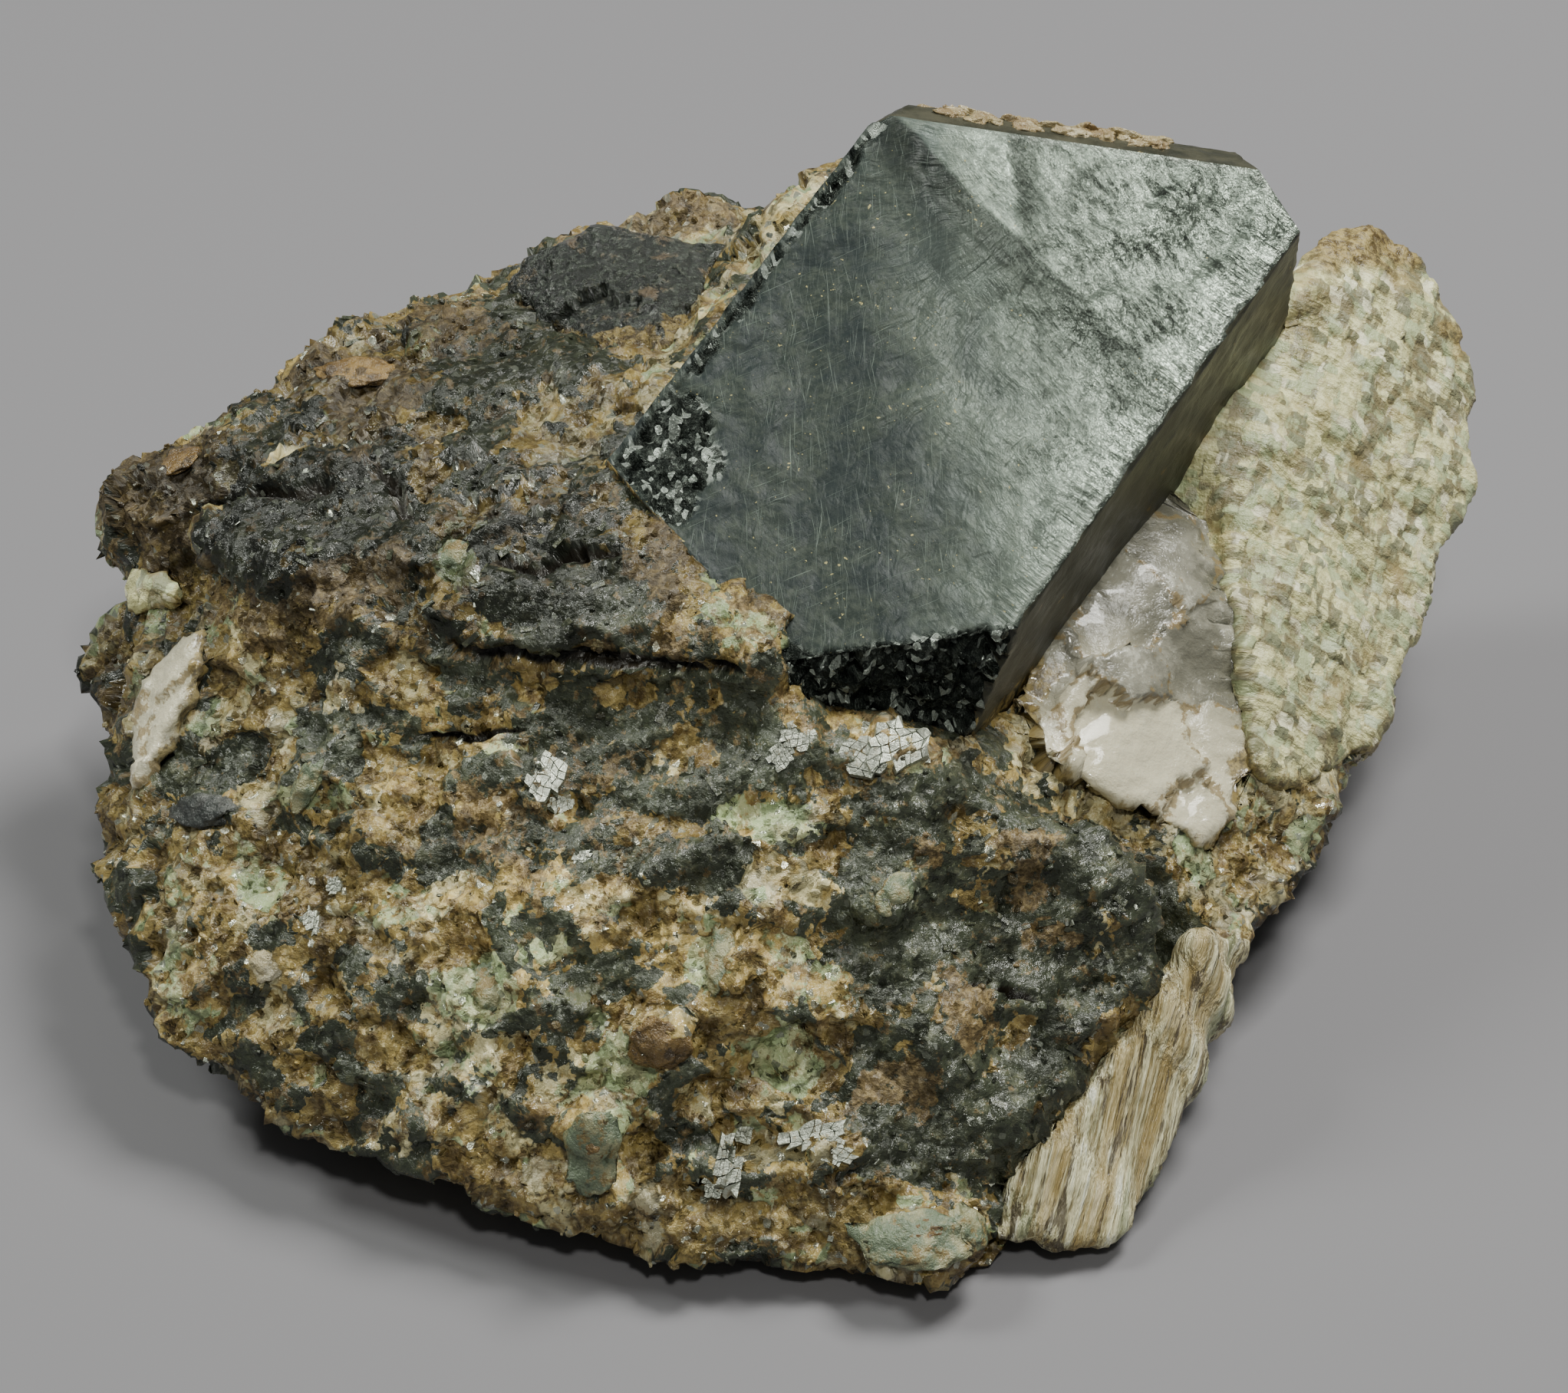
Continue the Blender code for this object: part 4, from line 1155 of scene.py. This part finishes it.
def quartz_look(graph):
    """Glassy grey quartz in large pieces, cream and white lower down, with rusty seams."""
    tint = colours()
    place = graph.attribute("rest")
    plates, _, off_edge = quartz_plates(graph, place)
    cloud = graph.noise(place, 3.6, 5.0, 0.6)
    fleck = graph.noise(place, 0.6, 4.0, 0.7)
    body = graph.mixed(cloud.between(0.42, 0.58), (0.16, 0.155, 0.120), tint.quartz)
    low = graph.part(place, 1) * -1.0 + (graph.part(plates.output("Color"), 0) - 0.5) * 9.0
    cream = graph.mixed(low.between(-2.0, 6.0) * 0.9, body, (0.74, 0.69, 0.50))
    white = graph.mixed((fleck * 0.6 + cloud * 0.4).between(0.54, 0.66) * 0.5, cream, (0.72, 0.71, 0.60))
    mealy = off_edge.between(0.07, 0.0) * 0.20 + graph.noise(place, 1.6, 6.0, 0.70)
    rusty = graph.mixed(mealy.between(0.61, 0.72) * 0.8, white, (0.26, 0.190, 0.085))
    return {
        "Base Color": rusty_rim(graph, place, rusty),
        "Roughness": fleck.between(0.3, 0.7, 0.10, 0.30),
        "Coat Weight": 0.4,
        "Coat Roughness": 0.08,
        "Subsurface Weight": 0.15,
        "Subsurface Radius": (0.0012, 0.0010, 0.0008),
        "Normal": graph.bump(fleck * 0.14 + cloud * 0.4, 0.8 * MM, glinting_normal(graph, ((plates, 0.30),))),
        "IOR": 1.55,
    }


def fibre_place(graph, place, stretch):
    """A place drawn together along the fibres, so that noise there makes long streaks."""
    along = graph.vector("DOT_PRODUCT", place, tuple(FIBRES))
    return graph.vector("SUBTRACT", place, graph.scaled(tuple(FIBRES), along * (1.0 - 1.0 / stretch)))


def fibre_height(graph, place, inputs):
    """Bundles of fibres with splintered ends."""
    bundles = graph.noise(fibre_place(graph, place, 16.0), 1.3, 4.0, 0.65) - 0.5
    splinters = graph.noise(fibre_place(graph, place, 5.0), 1.8, 3.0, 0.6).stepped(9.0) - 0.5
    return bundles * inputs["Bundles"] + splinters * inputs["Splinters"] + 0.35


def fibre_look(graph):
    """Silky streaks of cream, white, ochre and brown, with a little pale green; the white on the streaks'
    ridges is partly a painted highlight.
    """
    place = graph.attribute("rest")
    streak = graph.noise(fibre_place(graph, place, 30.0), 0.50, 4.0, 0.66)
    band = graph.noise(fibre_place(graph, place, 16.0), 2.0, 4.0, 0.6)
    base = graph.mixed(streak.between(0.40, 0.54), (0.25, 0.20, 0.090), (0.73, 0.69, 0.43))
    # White on the streaks' ridges, partly a painted highlight
    white = graph.mixed(streak.between(0.55, 0.63), base, (0.86, 0.86, 0.68))
    ochre = graph.mixed(band.between(0.51, 0.60) * 0.7, white, (0.40, 0.29, 0.105))
    green = graph.mixed(band.between(0.46, 0.38) * 0.5, ochre, (0.30, 0.37, 0.22))
    gaps = graph.noise(fibre_place(graph, place, 12.0), 0.8, 5.0, 0.72)
    low = graph.part(place, 2).between(16.0, 4.0) * 0.045
    brown = graph.mixed((gaps + low).between(0.58, 0.64) * 0.9, green, (0.075, 0.055, 0.030))
    return {
        "Base Color": rusty_rim(graph, place, brown),
        "Roughness": streak.between(0.3, 0.7, 0.26, 0.46),
        "Normal": graph.bump(streak + gaps * -0.5, 0.8 * MM),
        "IOR": 1.62,
    }


def black_height(graph, place, inputs):
    """Many small, sharp breaks."""
    return quartz_height(graph, place, inputs) + (graph.noise(place, 0.9, 3.0, 0.6) - 0.5) * 0.4 - 0.1


def black_look(graph):
    """Glassy, sparkling greenish black with rusty film in the hollows."""
    place = graph.attribute("rest")
    chips, large_chips = graph.cells(place, 0.34), graph.cells(place, 2.2)
    fleck = graph.noise(place, 0.45, 4.0, 0.7)
    base = graph.mixed(fleck.between(0.42, 0.70), (0.016, 0.020, 0.016), (0.075, 0.088, 0.070))
    film = graph.noise(place, 1.8, 5.0, 0.7).between(0.55, 0.64) * 0.7
    rusty = graph.mixed(film, base, (0.14, 0.095, 0.050))
    return {
        "Base Color": rusty_rim(graph, place, rusty),
        "Roughness": fleck.between(0.3, 0.7, 0.12, 0.28),
        "Normal": graph.bump(fleck, 0.7 * MM, glinting_normal(graph, ((chips, 1.1), (large_chips, 0.4)))),
        "IOR": 1.75,
    }


def mineral_piece(name, node, slot, height_of, values, look, beside=(), rim=2.6):
    """A mineral's solid with an even mesh, its relief and its material. Its points close to the pieces that
    it lies beside are drawn to them, and its rim is as wide as given, in millimetres."""
    piece = object_from(name, merged(node))
    even_surface(piece, sizes().mineral_cell, 4)
    points = points_of(piece)
    neighbours = [tree_of(bpy.data.objects[other]) for other in beside]
    for near in neighbours:
        points = drawn_to(points, near, 2.6 * MM, 0.2 * MM)
    set_points(piece, points)
    reach = np.clip(points[:, 2] / (1.5 * MM), 0.0, 1.0)
    for near in neighbours:
        reach *= 1.0 - nearness(points, near, 0.3 * MM, 1.5 * MM)
    set_attribute(piece, "reach", "FLOAT", reach)
    rock = tree_of(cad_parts["matrix_rock"])
    set_attribute(piece, "rim", "FLOAT", nearness(points, rock, 0.4 * MM, rim * MM))
    set_attribute(piece, "stain", "FLOAT", stained(points))
    label = slot + " of " + node
    grown(piece, relief_tree(label, values, height_of, new_material(label, look)))
    return finished(piece, slot, node)


def stained(points):
    """How rusty each point is, where the photograph shows stains on the pale minerals."""
    x, y = wavering_pixels(points, points / MM, ((1.8, 3.0, 23.0, 26),))
    total = np.zeros(len(points))
    for middle, radii, turn, strength in STAINS:
        total = np.maximum(total, in_ellipse(x, y, middle, radii, turn, 1.25, 0.7) * strength)
    return total


class SPECIMEN_OT_small_crystal(bpy.types.Operator):
    """Make the second, glassy black allanite crystal"""

    bl_idname = "specimen.small_crystal"
    bl_label = "Small Crystal"

    def execute(self, context):
        mineral_piece("small_crystal", "allanite_crystal_small", "allanite", black_height,
                      {"Chips": 0.25, "Roughness": 1.0}, black_look, rim=1.0)
        return {"FINISHED"}


class SPECIMEN_OT_feldspar(bpy.types.Operator):
    """Make the pale slab along the right side and the chip at the left end"""

    bl_idname = "specimen.feldspar"
    bl_label = "Feldspar"

    def execute(self, context):
        steps = {"Rows": 0.55, "Columns": 0.7, "Blocks": 0.26, "Roughness": 0.4}
        beside = ["allanite_blade"]
        mineral_piece("slab_blocks", "feldspar_slab", "feldspar", slab_height, steps, slab_look, beside)
        mineral_piece("chip_blocks", "feldspar_chip", "feldspar", slab_height, steps, slab_look)
        return {"FINISHED"}


class SPECIMEN_OT_quartz(bpy.types.Operator):
    """Make the milky quartz beside the blade and the lens at the left end"""

    bl_idname = "specimen.quartz"
    bl_label = "Quartz"

    def execute(self, context):
        breaks = {"Chips": 0.28, "Roughness": 0.6}
        for name, node, beside in (
                ("quartz_mass", "milky_quartz", ["allanite_blade", "slab_blocks"]),
                ("lens_mass", "quartz_lens", ["chip_blocks"])):
            mineral_piece(name, node, "quartz", quartz_height, breaks, quartz_look, beside)
        return {"FINISHED"}


class SPECIMEN_OT_tremolite(bpy.types.Operator):
    """Make the fibrous block at the lower right"""

    bl_idname = "specimen.tremolite"
    bl_label = "Tremolite"

    def execute(self, context):
        mineral_piece("tremolite_fibres", "fibrous_tremolite", "tremolite", fibre_height,
                      {"Bundles": 1.1, "Splinters": 0.7}, fibre_look, rim=1.3)
        return {"FINISHED"}


# The pieces that the rock closes up to
NEIGHBOURS = ("small_crystal", "slab_blocks", "chip_blocks", "quartz_mass", "lens_mass", "tremolite_fibres")


class SPECIMEN_OT_rock(bpy.types.Operator):
    """Make the coarse rock that carries the crystals"""

    bl_idname = "specimen.rock"
    bl_label = "Rock"

    def execute(self, context):
        rock = object_from("rock_mass", merged("matrix_rock"))
        even_surface(rock, sizes().rock_cell, 3)
        blade = bpy.data.objects["allanite_blade"]
        neighbours = [bpy.data.objects[name] for name in NEIGHBOURS]
        points = points_of(rock)
        free = 1.0 - nearness(points, tree_of(blade), 0.6 * MM, 2.6 * MM)
        points = drawn_to(points, tree_of(blade), 1.1 * MM, 0.15 * MM)
        for neighbour in neighbours:
            near = tree_of(neighbour)
            free = np.minimum(free, 1.0 - 0.8 * nearness(points, near, 0.4 * MM, 2.0 * MM))
            points = drawn_to(points, near, 2.0 * MM, 0.15 * MM)
        set_points(rock, points)
        shares = cover_shares(rock, [bpy.data.objects["slab_blocks"], bpy.data.objects["quartz_mass"]])
        rise = smoothstep(0.2, 2.5, points[:, 2] / MM)
        cut = crack_depths(rock)
        set_attribute(rock, "shares", "FLOAT_COLOR", shares)
        # Painted light and shade over broad areas of the rock
        set_attribute(rock, "painted_light_and_shade", "FLOAT", painted_light_and_shade(rock))
        set_attribute(rock, "calm", "FLOAT", smoothstep(0.70, 0.95, shares[:, 0]))
        # The cracks' depth, which the rock's colour also paints black as shade
        set_attribute(rock, "cut", "FLOAT", cut * free)
        set_attribute(rock, "reach", "FLOAT", (0.25 + 0.75 * free) * rise)
        set_attribute(rock, "crumbs", "FLOAT", free * rise * (cut < 0.2))
        set_attribute(rock, "laths", "FLOAT", free * rise * smoothstep(0.35, 0.9, shares[:, 0]) * (cut < 0.2))
        heights = {"Coarse Height": 0.75, "Fine Height": 0.30, "Ledges": 3.4, "Roughness": 0.8}
        grown(rock, relief_tree("Rock Relief", heights, rock_height, new_material("rock grains", rock_look)))
        points = points_of(rock)
        points[:, 2] = np.maximum(points[:, 2], 0.0)
        set_points(rock, points)
        finished(rock, "rock", "matrix_rock")
        return {"FINISHED"}


def random_vector(graph, low, high, seed):
    """A random vector between two vectors for each point or copy."""
    inputs = {0: low, 1: high, 8: seed}
    return graph.node("FunctionNodeRandomValue", {"data_type": "FLOAT_VECTOR"}, inputs)


def strewn_tree(name, values, shape, aspect, density_name, material):
    """A tree that strews a shape over a surface, more where the named attribute is high. Its sizes are in
    millimetres, and each copy gets a random number as the attribute pick."""
    def build(graph, geometry, inputs):
        density = graph.named(density_name) * inputs["Count per Square"] * (1.0 / MM / MM)
        points = graph.node(
            "GeometryNodeDistributePointsOnFaces", None,
            {"Mesh": geometry, "Density": density, "Seed": inputs["Seed"]})
        small = graph.scaled(aspect, inputs["Smallest"] * MM)
        large = graph.scaled(aspect, inputs["Largest"] * MM)
        seed, lean = inputs["Seed"], inputs["Lean"]
        scale = random_vector(graph, small, large, seed)
        placed = {"Rotation": points.output("Rotation"), "Scale": scale}
        copies = graph.node(
            "GeometryNodeInstanceOnPoints", None, {"Points": points, "Instance": shape(graph), **placed})
        low = graph.joined(lean * -1.0, lean * -1.0, -math.pi)
        high = graph.joined(lean, lean, math.pi)
        turn = random_vector(graph, low, high, seed + 1)
        turned = graph.node("GeometryNodeRotateInstances", None, {"Instances": copies, "Rotation": turn})
        pick = graph.node("FunctionNodeRandomValue", {"data_type": "FLOAT"}, {8: seed + 2}, 1)
        return graph.node(
            "GeometryNodeStoreNamedAttribute", {"data_type": "FLOAT", "domain": "INSTANCE"},
            {"Geometry": turned, "Name": "pick", "Value": pick})
    return new_tree(name, values, build, material)


def ball(graph):
    return graph.node("GeometryNodeMeshIcoSphere", None, {"Radius": 1.0, "Subdivisions": 1})


def block(graph):
    return graph.node("GeometryNodeMeshCube", None, {"Size": (2.0, 2.0, 2.0)})


def crumb_look(graph):
    """Grains of the same minerals as the rock's surface under them, some lighter and some darker."""
    made = rock_minerals(graph, graph.attribute("rest"))
    place = own_place(graph)
    fleck = graph.noise(place, 0.4, 3.0, 0.7)
    shade = graph.attribute("pick", "Fac").between(0.0, 1.0, 0.70, 1.30)
    return {
        "Base Color": shaded(graph, made["colour"], shade),
        "Roughness": fleck.between(0.3, 0.7, 0.18, 0.40),
        "Normal": graph.bump(fleck, 0.25 * MM),
        "IOR": 1.60,
    }


def lath_look(graph):
    """Green-black amphibole with glossy cleavage."""
    tint = colours()
    place = own_place(graph)
    fleck = graph.noise(place, 0.4, 3.0, 0.7)
    return {
        "Base Color": graph.mixed(fleck.between(0.4, 0.7), tint.dark, tint.dark_light),
        "Roughness": fleck.between(0.3, 0.7, 0.16, 0.40),
        "Normal": graph.bump(fleck, 0.12 * MM),
        "IOR": 1.64,
    }


def mica_look(graph):
    """Silvery mica with fine cracks and brownish edges."""
    tint = colours()
    place = own_place(graph)
    fleck = graph.noise(place, 0.5, 4.0, 0.7)
    return {
        "Base Color": graph.mixed(fleck.between(0.56, 0.68) * 0.7, tint.mica, (0.30, 0.25, 0.15)),
        "Metallic": 0.55,
        "Roughness": fleck.between(0.3, 0.7, 0.18, 0.42),
        "Normal": graph.bump(fleck, 0.15 * MM),
        "IOR": 1.58,
    }


class SPECIMEN_OT_grains(bpy.types.Operator):
    """Strew small grains, amphibole laths and mica flakes over the rock"""

    bl_idname = "specimen.grains"
    bl_label = "Grains"

    def execute(self, context):
        mica = new_material("silver mica", mica_look)
        seed, half_lath = sizes().seed, sizes().lath_length / MM / 2
        for name, shape, aspect, density_name, look, values in (
                ("rock_crumbs", ball, (1.0, 0.8, 0.55), "crumbs", new_material("crumbs", crumb_look),
                 {"Count per Square": 0.16, "Smallest": 0.14, "Largest": 0.46, "Lean": 1.5, "Seed": seed}),
                ("amphibole_laths", block, (1.0, 0.38, 0.16), "laths", new_material("amphibole", lath_look),
                 {"Count per Square": 0.09, "Smallest": 0.25, "Largest": half_lath, "Lean": 0.22,
                  "Seed": seed + 10}),
                ("mica_flakes", block, (1.0, 0.8, 0.16), "crumbs", mica,
                 {"Count per Square": 0.06, "Smallest": 0.10, "Largest": 0.22, "Lean": 0.9,
                  "Seed": seed + 20})):
            ground = new_object(name, bpy.data.objects["rock_mass"].data.copy())
            ground.data.materials.clear()
            grown(ground, strewn_tree(name, values, shape, aspect, density_name, look))
            finished(ground, "rock", smooth=False)
        return {"FINISHED"}


def add_book(bm, place, radii, rng):
    """A cracked mica book at a frame: flat tiles with a ragged outline, each leaning its own way."""
    columns, rows = 6, 5
    corners = {}
    for i in range(columns + 1):
        for j in range(rows + 1):
            u = 2 * i / columns - 1 + rng.uniform(-0.12, 0.12)
            v = 2 * j / rows - 1 + rng.uniform(-0.12, 0.12)
            corners[i, j] = Vector((u * radii[0] + v * radii[1] * 0.3, v * radii[1]))
    for i in range(columns):
        for j in range(rows):
            tile = [corners[i, j], corners[i + 1, j], corners[i + 1, j + 1], corners[i, j + 1]]
            middle = sum(tile, Vector((0.0, 0.0))) / 4
            if math.hypot(middle.x / radii[0], middle.y / radii[1]) > rng.uniform(0.85, 1.1):
                continue
            lean_x, lean_y, lift = rng.uniform(-0.14, 0.14), rng.uniform(-0.14, 0.14), rng.uniform(0.10, 0.18)
            rings = []
            for bottom in (True, False):
                ring = []
                for corner in tile:
                    inset = middle + (corner - middle) * (0.98 if bottom else 0.90)
                    away = inset - middle
                    height = -0.5 if bottom else lift + away.x * lean_x + away.y * lean_y
                    ring.append(bm.verts.new(place @ Vector((inset.x * MM, inset.y * MM, height * MM))))
                rings.append(ring)
            low, high = rings
            bm.faces.new(reversed(low))
            bm.faces.new(high)
            for k in range(4):
                bm.faces.new((low[k], low[(k + 1) % 4], high[(k + 1) % 4], high[k]))


class SPECIMEN_OT_mica_books(bpy.types.Operator):
    """Make the silvery mica books that stand out of the rock"""

    bl_idname = "specimen.mica_books"
    bl_label = "Mica Books"

    def execute(self, context):
        rng = random.Random(sizes().seed)
        trees = surfaces()
        bm = bmesh.new()
        for pixel, radii, turn in MICA_BOOKS:
            place, out = seen_at(trees, pixel)
            out = (out + Vector((0.0, -0.25, 0.35))).normalized()
            add_book(bm, standing_frame(place, out, turn), radii, rng)
        settled(bm, trees, 0.5 * MM)
        books = object_from("mica_books", bm)
        books.data.materials.append(bpy.data.materials["silver mica"])
        finished(books, "rock", smooth=False)
        return {"FINISHED"}


def surfaces():
    """The search trees of the pieces that small things sit on."""
    return [tree_of(bpy.data.objects[name]) for name in ("rock_mass", "allanite_blade", *NEIGHBOURS)]


def add_lump(bm, place, radii, seed):
    """A rounded, slightly bumpy grain at a frame, half sunk."""
    for vert in bmesh.ops.create_icosphere(bm, subdivisions=4, radius=1.0)["verts"]:
        swell = 1.0 + 0.40 * noise.noise(vert.co * 1.5 + Vector((seed, 0.0, 0.0)))
        swell += 0.16 * noise.noise(vert.co * 4.0 + Vector((0.0, seed, 0.0)))
        vert.co = place @ Vector([c * r * swell * MM for c, r in zip(vert.co, radii)])


def settled(bm, trees, highest):
    """Draws the points of small pieces in to stand at most so high over the surfaces that carry them."""
    for vert in bm.verts:
        hits = (tree.find_nearest(vert.co) for tree in trees)
        nearest, out, _, distance = min(hits, key=lambda hit: hit[3])
        if distance > highest and (vert.co - nearest).dot(out) > 0.0:
            vert.co = nearest + (vert.co - nearest) * (highest / distance)


def lump_look(first, second, third):
    """The look of rounded grains: three colours in clouds, one of them scarce."""
    def look(graph):
        place = own_place(graph)
        fleck = graph.noise(place, 0.5, 4.0, 0.7)
        colour = graph.mixed(graph.noise(place, 1.5, 4.0, 0.6).between(0.42, 0.60), first, second)
        colour = graph.mixed(graph.noise(place, 1.1, 5.0, 0.70).between(0.54, 0.62) * 0.8, colour, third)
        return {
            "Base Color": colour,
            "Roughness": fleck.between(0.3, 0.7, 0.14, 0.36),
            "Normal": graph.bump(fleck, 0.3 * MM, glinting_normal(graph, ((graph.cells(place, 0.9), 0.35),))),
            "IOR": 1.56,
        }
    return look


class SPECIMEN_OT_lumps(bpy.types.Operator):
    """Make the rounded green, brown, white and grey grains on the rock"""

    bl_idname = "specimen.lumps"
    bl_label = "Rounded Grains"

    def execute(self, context):
        trees = surfaces()
        tones = {
            "green": ((0.15, 0.19, 0.120), (0.33, 0.32, 0.180), (0.24, 0.165, 0.055)),
            "brown": ((0.13, 0.080, 0.028), (0.24, 0.155, 0.055), (0.05, 0.035, 0.02)),
            "white": ((0.58, 0.54, 0.40), (0.46, 0.40, 0.24), (0.35, 0.29, 0.15)),
            "grey": ((0.040, 0.046, 0.042), (0.10, 0.105, 0.095), (0.03, 0.03, 0.028)),
        }
        for kind, tone in tones.items():
            bm = bmesh.new()
            for seed, (own_kind, pixel, radii, turn) in enumerate(LUMPS):
                if own_kind == kind:
                    place, out = seen_at(trees, pixel)
                    add_lump(bm, standing_frame(place, out, turn), radii, seed * 3.7)
            settled(bm, trees, 0.6 * MM)
            lumps = object_from(kind + "_grains", bm)
            lumps.data.materials.append(new_material(kind + " grain", lump_look(*tone)))
            finished(lumps, "rock")
        return {"FINISHED"}


class SPECIMEN_OT_crust(bpy.types.Operator):
    """Make the tan crust along the blade's top edge"""

    bl_idname = "specimen.crust"
    bl_label = "Blade Crust"

    def execute(self, context):
        rng = random.Random(sizes().seed + 5)
        blade = tree_of(bpy.data.objects["allanite_blade"])
        bm = bmesh.new()
        for pixel in CRUST:
            for _ in range(rng.randrange(1, 6)):
                place, ray = ray_through((pixel[0] + rng.uniform(-14, 14), pixel[1] + rng.uniform(-8, 8)))
                depth = BLADE_EDGE_DEPTH + rng.uniform(-0.001, 0.002)
                nearest, out, _, _ = blade.find_nearest(place + ray * depth)
                radii = [rng.uniform(0.3, 1.0), rng.uniform(0.3, 0.7), rng.uniform(0.15, 0.42)]
                add_lump(bm, standing_frame(nearest, out, rng.uniform(-30, 30)), radii, rng.uniform(0, 90))
        crust = object_from("blade_crust", bm)
        look = lump_look((0.36, 0.29, 0.15), (0.24, 0.17, 0.08), (0.55, 0.48, 0.32))
        crust.data.materials.append(new_material("tan crust", look))
        finished(crust, "rock")
        return {"FINISHED"}


class SPECIMEN_OT_stage(bpy.types.Operator):
    """Make the plain floor, the soft lights and the camera"""

    bl_idname = "specimen.stage"
    bl_label = "Stage"

    def execute(self, context):
        make_floor()
        for name, place, aim, size, power, colour in LIGHTS:
            make_light(name, Vector(place), Vector(aim), size, power, colour)
        make_surroundings()
        make_camera()
        return {"FINISHED"}


def make_floor():
    bm = bmesh.new()
    bmesh.ops.create_grid(bm, x_segments=1, y_segments=1, size=1.5)
    floor = object_from("floor", bm)
    floor.data.materials.append(new_material("floor", lambda graph: {
        "Base Color": colours().floor,
        "Roughness": 0.75,
    }))


def make_light(name, place, aim, size, power, colour):
    lamp = bpy.data.lights.new(name, "AREA")
    lamp.shape = "RECTANGLE"
    lamp.size, lamp.size_y = size
    lamp.energy = power
    lamp.color = colour
    obj = bpy.data.objects.new(name, lamp)
    obj.location = place
    obj.rotation_mode = "QUATERNION"
    obj.rotation_quaternion = (aim - place).to_track_quat("-Z", "Y")
    bpy.context.scene.collection.objects.link(obj)


def make_surroundings():
    world = bpy.data.worlds.new("room")
    world.use_nodes = True
    backdrop = world.node_tree.nodes["Background"]
    backdrop.inputs["Color"].default_value = (0.84, 0.87, 0.84, 1.0)
    backdrop.inputs["Strength"].default_value = 0.15
    bpy.context.scene.world = world


def make_camera():
    place, right, up, back = camera_axes()
    lens = bpy.data.cameras.new("camera")
    lens.lens = sizes().view_lens
    lens.sensor_width = SENSOR
    lens.clip_start, lens.clip_end = 0.01, 10.0
    camera = bpy.data.objects.new("camera", lens)
    camera.matrix_world = Matrix.Translation(place) @ Matrix((right, up, back)).transposed().to_4x4()
    bpy.context.scene.collection.objects.link(camera)
    bpy.context.scene.camera = camera


class SPECIMEN_PT_panel(bpy.types.Panel):
    """Lists what makes the specimen"""

    bl_idname = "SPECIMEN_PT_panel"
    bl_label = "Specimen"
    bl_space_type = "VIEW_3D"
    bl_region_type = "UI"
    bl_category = "Specimen"

    def draw(self, context):
        for operator in OPERATORS:
            self.layout.operator(operator.bl_idname)
        for group in (context.scene.specimen_sizes, context.scene.specimen_colours):
            for name in group.bl_rna.properties.keys():
                if name not in ("rna_type", "name"):
                    self.layout.prop(group, name)


OPERATORS = (
    SPECIMEN_OT_blade, SPECIMEN_OT_small_crystal, SPECIMEN_OT_feldspar, SPECIMEN_OT_quartz,
    SPECIMEN_OT_tremolite, SPECIMEN_OT_rock, SPECIMEN_OT_grains, SPECIMEN_OT_mica_books, SPECIMEN_OT_lumps,
    SPECIMEN_OT_crust, SPECIMEN_OT_stage,
)
CLASSES = (SpecimenSizes, SpecimenColours, *OPERATORS, SPECIMEN_PT_panel)


def register():
    for kind in CLASSES:
        bpy.utils.register_class(kind)
    bpy.types.Scene.specimen_sizes = PointerProperty(type=SpecimenSizes)
    bpy.types.Scene.specimen_colours = PointerProperty(type=SpecimenColours)


def unregister():
    del bpy.types.Scene.specimen_colours
    del bpy.types.Scene.specimen_sizes
    for kind in reversed(CLASSES):
        bpy.utils.unregister_class(kind)


def main():
    for obj in [o for o in bpy.data.objects if o.type in ("CAMERA", "LIGHT")]:
        bpy.data.objects.remove(obj)
    register()
    bpy.ops.specimen.blade()
    bpy.ops.specimen.small_crystal()
    bpy.ops.specimen.feldspar()
    bpy.ops.specimen.quartz()
    bpy.ops.specimen.tremolite()
    bpy.ops.specimen.rock()
    bpy.ops.specimen.grains()
    bpy.ops.specimen.mica_books()
    bpy.ops.specimen.lumps()
    bpy.ops.specimen.crust()
    bpy.ops.specimen.stage()


if __name__ == "__main__":
    main()
